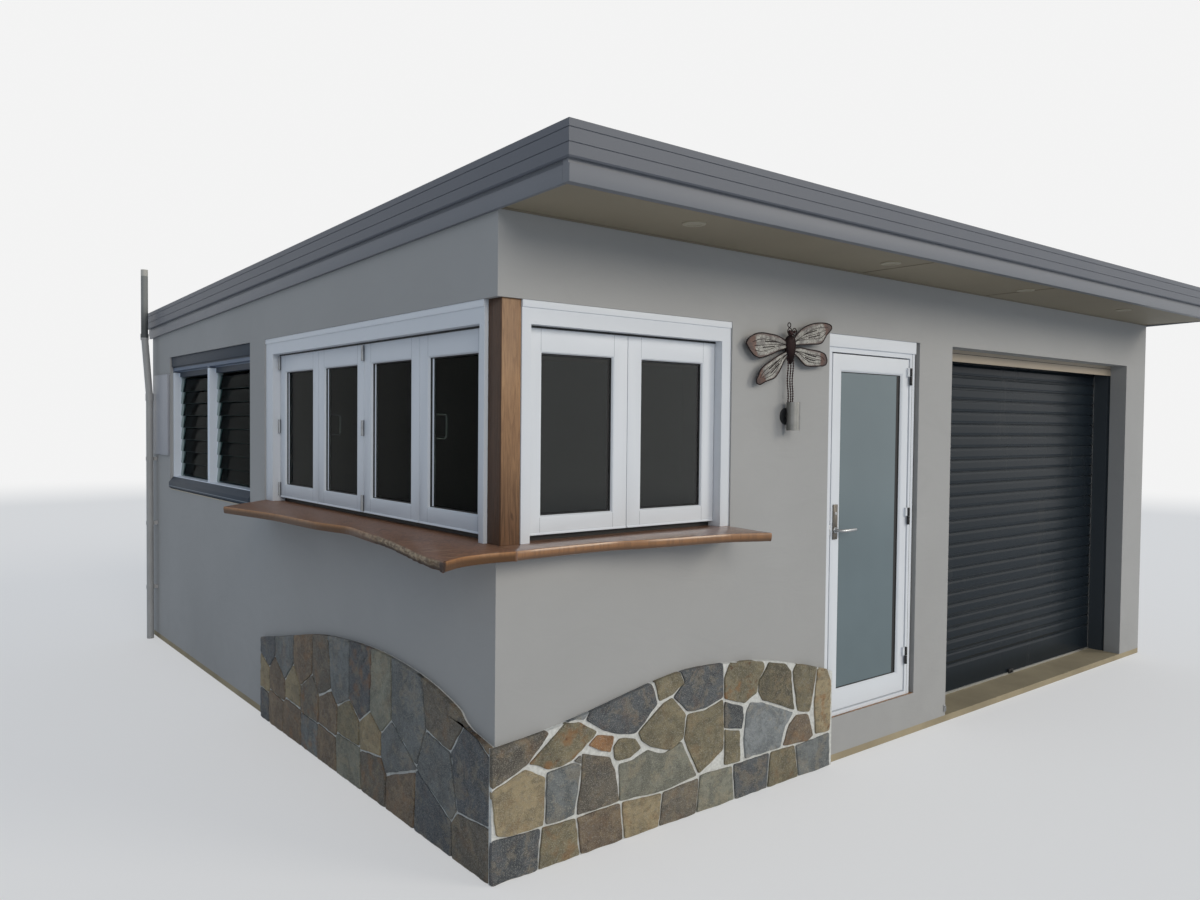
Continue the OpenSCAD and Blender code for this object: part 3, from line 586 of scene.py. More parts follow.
def pipe_paint(look):
    """Pipe painted with the walls up to the eaves, and dull galvanised steel above with a paler cap. The
    steel's tone, dark low and lighter higher up, is painted shade and painted reflection.
    """
    finish = Finish("pipe_paint")
    clouds, grain = finish.noise(6, 5), finish.noise(500, 2)
    up = finish.axis("Z")
    painted = finish.shades(clouds.between(0.3, 0.7), look.render, 0.86, 0.98)
    # Painted shade and painted reflection: the steel is dark low under the eaves and lighter towards the top.
    metal = finish.mix((up + clouds * 0.2).between(2.7, 2.95), paint(66, 70, 71), paint(118, 121, 120))
    metal = finish.mix(up.between(3.03, 3.04), metal, paint(172, 171, 165))
    tone = finish.mix(up.between(2.5225, 2.5245), painted, metal)
    return finish.close(tone, 0.5 + clouds * 0.15, normal=finish.bump(grain, 0.0001))


FINISHES = {}


def make_finishes(look):
    """Builds every finish once, under the name that the pieces ask for."""
    turned_to_y = (math.radians(90), 0, 0)
    turned_to_x = (0, math.radians(90), 0)
    FINISHES.update({
        "render": painted_render(look),
        "concrete": concrete(look),
        "floor": floor_boards(look),
        "stone": riven_stone(look),
        "mortar": joint_mortar(look),
        "deck": board_paint("deck_board", paint(176, 150, 112)),
        "roof_sheet": coated_metal("roof_sheet_metal", look.roof_sheet, 0.36, 0.5),
        "capping": coated_metal("capping_metal", look.capping, 0.42, 0.2, sheen=0.2),
        "fascia": coated_metal("fascia_paint", look.fascia, 0.42, 0.2, sheen=0.2),
        "soffit": board_paint("soffit_paint", look.soffit),
        "joint_strip": board_paint("joint_strip_paint", shade(look.soffit, 0.62)),
        "shadow": plain_plastic("shadow_gap", paint(34, 34, 36), 0.7),
        "seam": plain_plastic("frame_seam", paint(128, 134, 142), 0.6),
        "reveal_board": plain_plastic("reveal_board", paint(92, 93, 94), 0.7),
        "frames": coated_metal("window_powder_coat", look.frames, 0.34, 0.1, sheen=0.12),
        "louvre": louvre_paint(look),
        "louvre_clip": plain_plastic("louvre_clip_plastic", paint(158, 174, 176), 0.4, 0.1),
        "blade_edge": plain_plastic("ground_blade_edge", paint(78, 92, 90), 0.4),
        "post": timber("post_timber", look.post_dark, look.post_light, 30, 0.5, 0.1,
                       foot=(counter_high + 0.02, counter_high + 0.5), stain_and_shade_side=True, figure=0.2),
        "counter_side": timber("counter_timber_side", shade(look.counter, 0.5), shade(look.counter, 1.3), 9,
                               0.42, 0.15, turned_to_y, edge=look.counter_edge, edge_shade_levels=(0.45, 0.95)),
        "counter_front": timber("counter_timber_front", shade(look.counter, 0.55), shade(look.counter, 1.3),
                                9, 0.36, 1.0, turned_to_x, edge=look.counter_edge),
        "front_glass": clear_glass("front_window_glass", paint(160, 170, 166), 1.42),
        "side_glass": clear_glass("side_window_glass", paint(160, 170, 166), 1.06),
        "blade_glass": clear_glass("blade_glass", paint(104, 128, 128), 1.03, 0.04),
        "door_glass": obscure_glass(look),
        "gasket": plain_plastic("black_gasket", paint(26, 27, 29), 0.6),
        "steel": bare_metal("satin_steel", paint(182, 184, 186), 0.26),
        "worn_steel": bare_metal("worn_steel", paint(150, 154, 158), 0.42, dirt=0.6),
        "dark_steel": bare_metal("aged_steel", paint(94, 96, 98), 0.38),
        "handle_plate": bare_metal("handle_plate_metal", paint(112, 108, 102), 0.34),
        "roller": coated_metal("roller_paint", look.roller, 0.22, 0.08, sheen=0.14),
        "guide": coated_metal("guide_paint", paint(64, 70, 75), 0.42, 0.1, sheen=0.2),
        "rail": bare_metal("rail_metal", paint(196, 198, 198), 0.34, (0.02, 1, 1)),
        "head_board": board_paint("head_board_paint", look.head_board),
        "wire": plain_plastic("blackened_wire", paint(34, 26, 26), 0.55, 0.15),
        "body": plain_plastic("ornament_body_lacquer", paint(50, 28, 29), 0.45, 0.2),
        "wing": wing_film(look),
        "lamp_steel": lamp_steel(),
        "pipe": pipe_paint(look),
        "gutter": plain_plastic("gutter_plastic", paint(150, 150, 146), 0.42),
        "board": plain_plastic("board_plastic", paint(152, 155, 162), 0.4),
        "lamp_trim": coated_metal("lamp_trim", paint(168, 160, 140), 0.4, 0.1),
        "lens": plain_plastic("lamp_lens", paint(92, 88, 78), 0.3),
    })


def dress(finish, *nodes):
    """Gives CAD nodes a finish."""
    for name in nodes:
        mesh = frame["nodes"][name].data
        mesh.materials.clear()
        mesh.materials.append(FINISHES[finish])


def circle(sides):
    """Points of a circle of radius 1 about Z."""
    return [Vector((math.cos(k * math.tau / sides), math.sin(k * math.tau / sides), 0))
            for k in range(sides)]


def welded(node):
    """A CAD node as one merged mesh, with each flat face whole."""
    bm = bmesh.new()
    bm.from_mesh(frame["nodes"][node].data)
    bmesh.ops.remove_doubles(bm, verts=bm.verts, dist=WELD_DISTANCE)
    bmesh.ops.dissolve_limit(bm, angle_limit=FLAT_ANGLE, verts=bm.verts, edges=bm.edges)
    return bm


def ease(bm, radius):
    """Rounds the sharp edges."""
    sharp = [e for e in bm.edges if len(e.link_faces) == 2 and e.calc_face_angle() > SHARP_ANGLE]
    bmesh.ops.bevel(bm, geom=sharp, offset=radius, segments=2, profile=0.6, affect="EDGES",
                    clamp_overlap=True)


def mesh_from(bm, name):
    mesh = bpy.data.meshes.new(name)
    bm.to_mesh(mesh)
    bm.free()
    return mesh


def mark(made, name, numbers):
    """Gives each point of a piece a number that its finish reads."""
    made.data.attributes.new(name, "FLOAT", "POINT").data.foreach_set("value", numbers)


class Shape:
    """Collects closed solids, in metres, and turns them into one piece."""

    def __init__(self):
        self.bm = bmesh.new()

    def loft(self, sections, closed=False):
        """Joins loops of equally many points, with caps at the ends unless the last meets the first."""
        loops = [[self.bm.verts.new(point) for point in section] for section in sections]
        count = len(loops[0])
        pairs = list(zip(loops, loops[1:] + loops[:1] if closed else loops[1:]))
        for first, second in pairs:
            for i in range(count):
                j = (i + 1) % count
                self.bm.faces.new((first[i], first[j], second[j], second[i]))
        if not closed:
            self.bm.faces.new(loops[0])
            self.bm.faces.new(reversed(loops[-1]))
        return loops

    def block(self, wall, along, out, up):
        """A box on a wall, from three pairs of distances."""
        sections = [[wall(a, o, z)
                     for o, z in ((out[0], up[0]), (out[1], up[0]), (out[1], up[1]), (out[0], up[1]))]
                    for a in along]
        self.loft(sections)

    def strip(self, wall, along, outline):
        """An outline of (out, up) points carried along a wall."""
        self.loft([[wall(a, o, z) for o, z in outline] for a in along])

    def surround(self, wall, along, up, section):
        """A mitred frame round an opening. Its section is points of (inset, out)."""
        corners = ((along[0], up[0], 1, 1), (along[1], up[0], -1, 1), (along[1], up[1], -1, -1),
                   (along[0], up[1], 1, -1))
        self.loft([[wall(a + inset * x, out, z + inset * y) for inset, out in section]
                   for a, z, x, y in corners], closed=True)

    def lathe(self, centre, axis, profile, sides=32):
        """A solid of revolution: profile is points of (distance along the axis, radius)."""
        turn = Vector(axis).to_track_quat("Z", "Y")
        self.loft([[Vector(centre) + turn @ (point * radius + Vector((0, 0, height)))
                    for point in circle(sides)]
                   for height, radius in profile])

    def rod(self, start, end, radius, sides=16):
        """A round rod between two points."""
        reach = end - start
        self.lathe(start, reach, ((0, radius), (reach.length, radius)), sides)

    def turned(self, centre, axis, outline, sides=32):
        """A ring of revolution: outline is a closed loop of (distance along the axis, radius)."""
        turn = Vector(axis).to_track_quat("Z", "Y")
        self.loft([[Vector(centre) + turn @ (point * radius + Vector((0, 0, height)))
                    for height, radius in outline]
                   for point in circle(sides)], closed=True)

    def piece(self, name, finish, body="building", slot=None, bevel=0.0, smooth=30):
        """Closes the shape as a named piece that rides on a body."""
        bmesh.ops.recalc_face_normals(self.bm, faces=self.bm.faces)
        if bevel:
            ease(self.bm, bevel)
        return mount(mesh_from(self.bm, name), name, finish, body, smooth)


def bar(name, finish, wall, along, out, up, slot=None, bevel=0.0):
    """One box on a wall, as a piece of its own."""
    shape = Shape()
    shape.block(wall, along, out, up)
    return shape.piece(name, finish, slot=slot, bevel=bevel)


def mount(mesh, name, finish, body="building", smooth=30):
    """Shows a mesh as a piece of that name, with its finish, on its body."""
    if not mesh.materials:
        mesh.materials.append(FINISHES[finish])
    mesh.shade_smooth()
    mesh.set_sharp_from_angle(angle=math.radians(smooth))
    made = bpy.data.objects.new(name, mesh)
    bpy.context.scene.collection.objects.link(made)
    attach(made, body)
    return made


def eased(node, finish, radius, body="building"):
    """A merged copy of a CAD node with eased edges, which stands for it."""
    bm = welded(node)
    ease(bm, radius)
    name = node + "_eased"
    made = mount(mesh_from(bm, name), name, finish, body)
    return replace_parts(made, node)


class Shaper(Graph):
    """A geometry tree with named inputs, which ends in real geometry with one finish."""

    def __init__(self, name, **inputs):
        tree = bpy.data.node_groups.new(name, "GeometryNodeTree")
        super().__init__(tree)
        tree.interface.new_socket("Geometry", in_out="INPUT", socket_type="NodeSocketGeometry")
        for label, default in inputs.items():
            kind = {int: "NodeSocketInt", float: "NodeSocketFloat", tuple: "NodeSocketVector"}[type(default)]
            tree.interface.new_socket(label, in_out="INPUT", socket_type=kind).default_value = default
        tree.interface.new_socket("finish", in_out="INPUT", socket_type="NodeSocketMaterial")
        tree.interface.new_socket("Geometry", in_out="OUTPUT", socket_type="NodeSocketGeometry")
        self.start = tree.nodes.new("NodeGroupInput")

    def given(self, name):
        return Socket(self, self.start.outputs[name])

    def vector(self, x=0.0, y=0.0, z=0.0):
        return self.node("ShaderNodeCombineXYZ", None, {"X": x, "Y": y, "Z": z})

    def close(self, geometry):
        real = self.node("GeometryNodeRealizeInstances", None, {"Geometry": geometry})
        done = self.node("GeometryNodeSetMaterial", None,
                         {"Geometry": real, "Material": self.given("finish")})
        self.node("NodeGroupOutput", None, {"Geometry": done})
        return self.tree


def fastener_tree():
    """A washer and a hexagon head on every point, turned to the point's facing."""
    tree = Shaper("fasteners", radius=0.006, height=0.005)
    radius, height = tree.given("radius"), tree.given("height")
    washer = tree.node("GeometryNodeMeshCylinder", None,
                       {"Vertices": 14, "Radius": radius, "Depth": height * 0.5})
    head = tree.node("GeometryNodeMeshCylinder", None,
                     {"Vertices": 6, "Radius": radius * 0.62, "Depth": height * 2})
    both = tree.node("GeometryNodeJoinGeometry")
    tree.tree.links.new(washer.output, both.output.node.inputs[0])
    tree.tree.links.new(head.output, both.output.node.inputs[0])
    facing = tree.node("GeometryNodeInputNamedAttribute", {"data_type": "FLOAT_VECTOR"}, {"Name": "facing"})
    turn = tree.node("FunctionNodeAlignRotationToVector", {"axis": "Z"}, {"Vector": facing})
    return tree.close(tree.node("GeometryNodeInstanceOnPoints", None, {
        "Points": tree.given("Geometry"), "Instance": both, "Rotation": turn}))


def wire_tree():
    """A round wire along every line of the source."""
    tree = Shaper("wires", radius=0.003, sides=8)
    line = tree.node("GeometryNodeMeshToCurve", None, {"Mesh": tree.given("Geometry")})
    ring = tree.node("GeometryNodeCurvePrimitiveCircle", None,
                     {"Resolution": tree.given("sides"), "Radius": tree.given("radius")})
    return tree.close(tree.node("GeometryNodeCurveToMesh", None,
                                {"Curve": line, "Profile Curve": ring, "Fill Caps": True}))


def bead_tree():
    """Small beads threaded on every line of the source."""
    tree = Shaper("beads", radius=0.004, spacing=0.012)
    line = tree.node("GeometryNodeMeshToCurve", None, {"Mesh": tree.given("Geometry")})
    points = tree.node("GeometryNodeCurveToPoints", {"mode": "LENGTH"},
                       {"Curve": line, "Length": tree.given("spacing")})
    bead = tree.node("GeometryNodeMeshUVSphere", None,
                     {"Segments": 10, "Rings": 6, "Radius": tree.given("radius")})
    return tree.close(tree.node("GeometryNodeInstanceOnPoints", None, {"Points": points, "Instance": bead}))


def curtain_tree():
    """A ribbed steel sheet in the XZ plane: broad crowned ribs with a narrow groove at every pitch."""
    tree = Shaper("roller_curtain", width=2.6, height=2.3, pitch=0.08, depth=0.012, first=0.2, rows=900)
    half_groove, half_mouth = 2 * MM, 7 * MM
    crown = 4 * MM
    sheet = tree.node("GeometryNodeMeshGrid", None, {
        "Size X": tree.given("width"), "Size Y": tree.given("height"), "Vertices X": 2,
        "Vertices Y": tree.given("rows")})
    place = tree.node("GeometryNodeInputPosition")
    x = tree.node("ShaderNodeSeparateXYZ", None, {"Vector": place})
    up = x.other("Y") + tree.given("height") / 2
    pitch, first = tree.given("pitch"), tree.given("first")
    share = ((up - first) / pitch + 0.5).fraction() - 0.5
    away = share.size() * pitch
    ribbed = (up - first + pitch / 2).above(0.0)
    groove = (1 - away.between(half_groove, half_mouth)) * ribbed * tree.given("depth")
    round_off = (1 - away.between(half_mouth, half_mouth + 0.016)) * ribbed * crown
    sunk = groove.larger(round_off)
    moved = tree.node("GeometryNodeSetPosition", None,
                      {"Geometry": sheet, "Position": tree.vector(x, sunk, up)})
    return tree.close(moved)


def blade_tree():
    """A stack of tilted glass blades with rounded edges, lying along Y."""
    tree = Shaper("louvre_blades", length=0.8, height=0.12, thickness=0.006, tilt=0.24, pitch=0.11, count=8,
                  first=(0.0, 0.0, 0.0))
    outline = tree.node("GeometryNodeCurvePrimitiveQuadrilateral", None,
                        {"Width": tree.given("thickness"), "Height": tree.given("height")})
    eased_outline = tree.node("GeometryNodeFilletCurve", {"mode": "POLY"}, {
        "Curve": outline, "Radius": tree.given("thickness") * 0.45, "Count": 3})
    length = tree.given("length")
    line = tree.node("GeometryNodeCurvePrimitiveLine", None,
                     {"Start": tree.vector(), "End": tree.vector(z=length)})
    blade = tree.node("GeometryNodeCurveToMesh", None,
                      {"Curve": line, "Profile Curve": eased_outline, "Fill Caps": True})
    laid = tree.node("GeometryNodeTransform", None,
                     {"Geometry": blade, "Rotation": (math.radians(-90), 0, 0)})
    tilted = tree.node("GeometryNodeTransform", None,
                       {"Geometry": laid, "Rotation": tree.vector(y=tree.given("tilt"))})
    stack = tree.node("GeometryNodeMeshLine", {"mode": "OFFSET"}, {
        "Count": tree.given("count"), "Start Location": tree.given("first"),
        "Offset": tree.vector(z=tree.given("pitch"))})
    return tree.close(tree.node("GeometryNodeInstanceOnPoints", None, {"Points": stack, "Instance": tilted}))


TREES = {}


def grow(tree, name, finish, source=None, body="building", slot=None, skin=0.0, smooth=30, shift=None,
         **values):
    """Evaluates a geometry tree on a source mesh and keeps the result as a plain piece. A skin gives faces
    a thickness, half of it on either side, so a closed solid comes out as two shells."""
    if tree not in TREES:
        TREES[tree] = tree()
    group = TREES[tree]
    maker = bpy.data.objects.new("maker", source or bpy.data.meshes.new("start"))
    bpy.context.scene.collection.objects.link(maker)
    modifier = maker.modifiers.new("shape", "NODES")
    modifier.node_group = group
    values["finish"] = FINISHES[finish]
    for item in group.interface.items_tree:
        if item.in_out == "INPUT" and item.name in values:
            modifier[item.identifier] = values[item.name]
    if skin:
        solid = maker.modifiers.new("skin", "SOLIDIFY")
        solid.thickness = skin
        solid.offset = 0.0
    bpy.context.view_layer.update()
    depsgraph = bpy.context.evaluated_depsgraph_get()
    mesh = bpy.data.meshes.new_from_object(maker.evaluated_get(depsgraph))
    bpy.data.objects.remove(maker)
    if not mesh.polygons:
        raise RuntimeError(f"{name} came out empty")
    if shift is not None:
        mesh.transform(Matrix.Translation(shift))
    return mount(mesh, name, finish, body, smooth)


def lines_mesh(lines):
    """A mesh of lines, each a list of points. A line that ends on its first point is closed."""
    mesh = bpy.data.meshes.new("lines")
    points, edges = [], []
    for line in lines:
        closed = (Vector(line[0]) - Vector(line[-1])).length < 1e-6
        own = line[:-1] if closed else line
        start = len(points)
        points += [tuple(point) for point in own]
        edges += [(start + i, start + i + 1) for i in range(len(own) - 1)]
        if closed:
            edges.append((start + len(own) - 1, start))
    mesh.from_pydata(points, edges, [])
    return mesh


def fasteners(name, points, facing, radius, height, slot, body="building"):
    """Screw heads at points, all facing one way."""
    mesh = bpy.data.meshes.new(name)
    mesh.from_pydata([tuple(point) for point in points], [], [])
    attribute = mesh.attributes.new("facing", "FLOAT_VECTOR", "POINT")
    attribute.data.foreach_set("vector", [value for _ in points for value in facing])
    return grow(fastener_tree, name, "dark_steel", mesh, body, slot, radius=radius, height=height)


def steps(start, end, count):
    """Evenly spaced values from start to end, both included."""
    return [start + (end - start) * i / (count - 1) for i in range(count)]


# Colours of the stones
SLATE, BLUE_GREY, OLIVE = paint(78, 83, 88), paint(106, 111, 112), paint(120, 112, 88)
TAN, BROWN, DARK_BROWN = paint(150, 136, 106), paint(112, 97, 80), paint(98, 92, 82)
ORANGE, PALE, GREEN_GREY = paint(146, 106, 68), paint(136, 142, 145), paint(130, 130, 116)

# Stones of the front base: colour, share of rust and outline as distance along the wall and height
FRONT_STONES = (
    (DARK_BROWN, 0.25, ((-.031, .55), (-.009, .555), (.104, .569), (.227, .578), (.246, .562), (.216, .526),
                        (.14, .457), (.037, .415), (-.027, .393))),
    (OLIVE, 0.9,
     ((.152, .454), (.337, .586), (.407, .575), (.504, .517), (.459, .48), (.37, .42), (.308, .411),
                  (.247, .413), (.193, .437))),
    (PALE, 0.1, ((.343, .607), (.441, .626), (.461, .613), (.432, .58), (.375, .599))),
    (SLATE, 0.15,
     ((.445, .577), (.47, .611), (.569, .649), (.804, .682), (.826, .657), (.856, .573), (.729, .465),
                   (.639, .476), (.544, .514), (.497, .544))),
    (OLIVE, 0.3, ((.838, .68), (.99, .70), (1.02, .64), (.945, .60), (.87, .585))),
    (OLIVE, 0.15,
     ((.743, .463), (.899, .568), (.95, .58), (1.035, .49), (1.02, .38), (.94, .344), (.902, .353),
                   (.808, .39), (.765, .42))),
    (ORANGE, 0.4, ((.459, .467), (.511, .5), (.598, .479), (.595, .446), (.578, .41), (.525, .429))),
    (OLIVE, 0.1,
     ((.598, .429), (.632, .459), (.722, .44), (.758, .39), (.695, .363), (.62, .364), (.606, .375))),
    (TAN, 0.25,
     ((-.029, .379), (.037, .401), (.134, .436), (.193, .403), (.229, .38), (.222, .181), (.044, .184),
                 (-.006, .202))),
    (BLUE_GREY, 0.0, ((.241, .394), (.308, .401), (.371, .407), (.418, .386), (.403, .308), (.382, .185),
                      (.316, .182), (.237, .179))),
    (SLATE, 0.0, ((.383, .417), (.415, .434), (.423, .396))),
    (DARK_BROWN, 0.1, ((.427, .435), (.505, .408), (.579, .386), (.607, .322), (.631, .181), (.398, .181),
                       (.422, .319))),
    (GREEN_GREY, 0.05, ((.634, .342), (.717, .345), (.801, .369), (.903, .331), (1.01, .365), (1.11, .183),
                        (.904, .164), (.638, .179))),
    (SLATE, 0.15,
     ((1.0, .70), (1.283, .695), (1.286, .61), (1.285, .525), (1.16, .497), (1.05, .50), (.96, .585),
                   (1.03, .645))),
    (OLIVE, 0.25,
     ((1.05, .485), (1.17, .484), (1.286, .511), (1.29, .41), (1.292, .27), (1.13, .188), (1.03, .37))),
    (OLIVE, 0.9, ((1.298, .622), (1.334, .68), (1.471, .676), (1.577, .651), (1.587, .628), (1.539, .558),
                  (1.527, .506), (1.44, .468), (1.389, .486), (1.3, .514))),
    (shade(OLIVE, 0.6), 0.1, ((1.552, .562), (1.622, .641), (1.752, .614), (1.791, .571), (1.798, .489),
                              (1.825, .363), (1.581, .457), (1.545, .503))),
    (shade(OLIVE, 0.85), 0.2, ((1.81, .562), (1.838, .601), (2.006, .562), (1.988, .495), (1.961, .366),
                               (1.947, .33), (1.854, .351), (1.832, .452))),
    (TAN, 0.8, ((2.016, .547), (2.087, .542), (2.126, .465), (2.121, .196), (2.004, .2), (1.991, .373))),
    (shade(SLATE, 0.8), 0.0, ((1.3, .5), (1.423, .456), (1.433, .404), (1.421, .347), (1.303, .371))),
    (OLIVE, 0.0, ((1.303, .36), (1.409, .338), (1.411, .187), (1.305, .189))),
    (PALE, 0.0, ((1.484, .46), (1.582, .442), (1.815, .349), (1.751, .293), (1.714, .189), (1.454, .19),
                 (1.44, .284), (1.459, .423))),
    (BROWN, 0.35, ((1.845, .331), (1.933, .32), (1.984, .198), (1.925, .178), (1.742, .19), (1.788, .292))),
    (SLATE, 0.1, ((-.028, .004), (.19, .004), (.205, .17), (-.028, .182))),
    (OLIVE, 0.5, ((.204, .004), (.41, .004), (.388, .166), (.219, .17))),
    (BROWN, 0.2, ((.424, .004), (.655, .004), (.638, .168), (.402, .166))),
    (TAN, 0.3, ((.669, .004), (.865, .004), (.885, .152), (.652, .168))),
    (DARK_BROWN, 0.2, ((.879, .004), (1.105, .004), (1.125, .166), (.899, .152))),
    (GREEN_GREY, 0.05, ((1.119, .004), (1.37, .004), (1.355, .172), (1.139, .176))),
    (SLATE, 0.1, ((1.384, .004), (1.61, .004), (1.63, .176), (1.369, .174))),
    (OLIVE, 0.5, ((1.624, .004), (1.855, .004), (1.83, .172), (1.644, .176))),
    (BLUE_GREY, 0.0, ((1.869, .004), (2.12, .004), (2.12, .18), (1.844, .168))),
)
SIDE_STONES = (
    (0.12, 0.39, 0.17, 0.19, SLATE, 0.1), (0.04, 0.53, 0.08, 0.06, BROWN, 0.4),
    (0.34, 0.56, 0.10, 0.09, DARK_BROWN, 0.3), (0.38, 0.33, 0.12, 0.12, BLUE_GREY, 0.1),
    (0.10, 0.11, 0.15, 0.10, DARK_BROWN, 0.2),
)


def clip(polygon, point, normal):
    """The part of a flat polygon that lies behind a line."""
    kept = []
    for here, there in zip(polygon, polygon[1:] + polygon[:1]):
        a, b = (here - point).dot(normal), (there - point).dot(normal)
        if a <= 0:
            kept.append(here)
        if a * b < 0:
            kept.append(here.lerp(there, a / (a - b)))
    return kept


def top_line(node, wall):
    """The upper edge of a stone base: a function that gives its height at a distance along the wall."""
    points = {}
    for vertex in frame["nodes"][node].data.vertices:
        place = vertex.co - corner
        along = round(place.dot(wall.along), 4)
        points[along] = max(points.get(along, 0.0), vertex.co.z)
    line = sorted(item for item in points.items() if item[1] > 0.05)

    def height(along):
        for (a, low), (b, high) in zip(line, line[1:]):
            if along <= b:
                return low + (high - low) * max(0.0, min(1.0, (along - a) / (b - a)))
        return line[-1][1]
    return height


def resample(polygon, spacing):
    """The outline with points no further apart than the spacing."""
    points = []
    for here, there in zip(polygon, polygon[1:] + polygon[:1]):
        count = max(1, math.ceil((there - here).length / spacing))
        points += [here.lerp(there, i / count) for i in range(count)]
    return points


def softened(points):
    """The outline with its corners rounded off."""
    return [(before + here * 2 + after) / 4
            for before, here, after in zip(points[-1:] + points[:-1], points, points[1:] + points[:1])]


def fitted_cells(stones, start, end, joint):
    """Stones that share the wall between them: colour, rust and outline from their middles and sizes."""
    cells = []
    for index, (along, up, wide, tall, tone, rust) in enumerate(stones):
        middle, weight = Vector((along, up)), wide * tall
        cell = [Vector(p) for p in ((start, 0.002), (end, 0.002), (end, 1), (start, 1))]
        for other, (x, z, half, rise, _, _) in enumerate(stones):
            away = Vector((x, z)) - middle
            if other == index or away.length > 1 or not cell:
                continue
            share = (away.length + (weight - half * rise) / away.length) / 2
            gap = joint * (0.5 + 0.12 * math.sin(index * 7 + other * 3))
            cell = clip(cell, middle + away.normalized() * (share - gap), away.normalized())
        if len(cell) > 2 and max(p.x for p in cell) - min(p.x for p in cell) > 0.03:
            cells.append((tone, rust, cell))
    return cells


def stone_base(name, node, wall, cells, start, relief, seed):
    """Stones with a riven face on a pale mortar bed, both following the curved top of the CAD base."""
    rng = random.Random(seed)
    end = wall.span(node)[0][1]
    top = top_line(node, wall)
    proud = wall.span(node)[1][1]
    bed = Shape()
    marks = steps(start + 0.004, end - 0.004, 90)
    bed.loft([[wall(a, out, up)
               for out, up in ((0, 0), (proud - relief, 0), (proud - relief, top(a) - 0.006),
                                                (0, top(a) - 0.004))] for a in marks])
    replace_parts(bed.piece(name + "_mortar", "mortar", slot="stone"), node)
    shape = Shape()
    tones, rusts = [], []
    for index, (tone, rust, cell) in enumerate(cells):
        outline = softened(resample([Vector(point) for point in cell], 0.009))
        outline = [p + Vector((noise.noise(Vector((p.x * 21, p.y * 21, index))),
                               noise.noise(Vector((p.x * 21, p.y * 21, index + 9.5))))) * 0.004
                               for p in outline]
        outline = [Vector((p.x, min(p.y, top(p.x)))) for p in outline]
        heart = sum(outline, Vector((0, 0))) / len(outline)
        outline = [p + (p - heart).normalized() * 0.0015 for p in outline]
        outline = [Vector((max(start, min(end, p.x)), max(0.001, min(p.y, top(p.x) - 0.001))))
                   for p in outline]
        lean = Vector((rng.uniform(-1, 1), rng.uniform(-1, 1))) * 0.010
        sections = []
        for size, out in ((1, -relief - 0.012), (1, -0.004), (0.985, -0.001), (0.955, 0), (0.86, 0),
                          (0.7, 0), (0.5, 0), (0.28, 0), (0.08, 0)):
            ring = []
            for point in outline:
                place = heart + (point - heart) * size
                rough = noise.noise(Vector((place.x * 16, place.y * 22, index * 3.3))) * 0.0035
                rough += noise.noise(Vector((place.x * 47, place.y * 60, index * 1.7))) * 0.002
                face = out + (rough + lean.dot(place - heart) if size < 1 else 0)
                ring.append(wall(place.x, proud + min(face, 0.0), place.y))
            sections.append(ring)
        before = len(shape.bm.verts)
        shape.loft(sections)
        count = len(shape.bm.verts) - before
        vary = rng.uniform(0.94, 1.1)
        tones += [channel for _ in range(count) for channel in (*shade(tone, vary), 1)]
        rusts += [rust] * count
    made = shape.piece(name + "_stones", "stone", slot="stone", smooth=50)
    made.data.attributes.new("stone_colour", "FLOAT_COLOR", "POINT").data.foreach_set("color", tones)
    mark(made, "rust", rusts)


def more_stones(stones, end, top, seed):
    """Adds seeded stones beyond the listed ones, up to the far end."""
    rng = random.Random(seed)
    tones = (SLATE, DARK_BROWN, OLIVE, BROWN, BLUE_GREY, GREEN_GREY, TAN)
    made = list(stones)
    row, low = 0, 0.11
    while low < 0.66:
        along = 0.60 + 0.11 * (row % 2) if row else 0.36
        while along < end:
            half = rng.uniform(0.11, 0.17)
            along += half
            if low + rng.uniform(-0.02, 0.02) < top(along) - 0.02 and along < end + 0.02:
                made.append((along, low + rng.uniform(-0.025, 0.025), half, rng.uniform(0.08, 0.12),
                             tones[rng.randrange(len(tones))], rng.uniform(0, 0.6)))
            along += half
        low += 0.19
        row += 1
    return made


def face_outline(node):
    """The outline of a CAD node's top face as flat points from the near corner, in order."""
    bm = welded(node)
    top = max((face for face in bm.faces if face.normal.z > 0.9), key=lambda face: face.calc_area())
    points = [Vector((vertex.co.x - corner.x, vertex.co.y - corner.y)) for vertex in top.verts]
    bm.free()
    return points


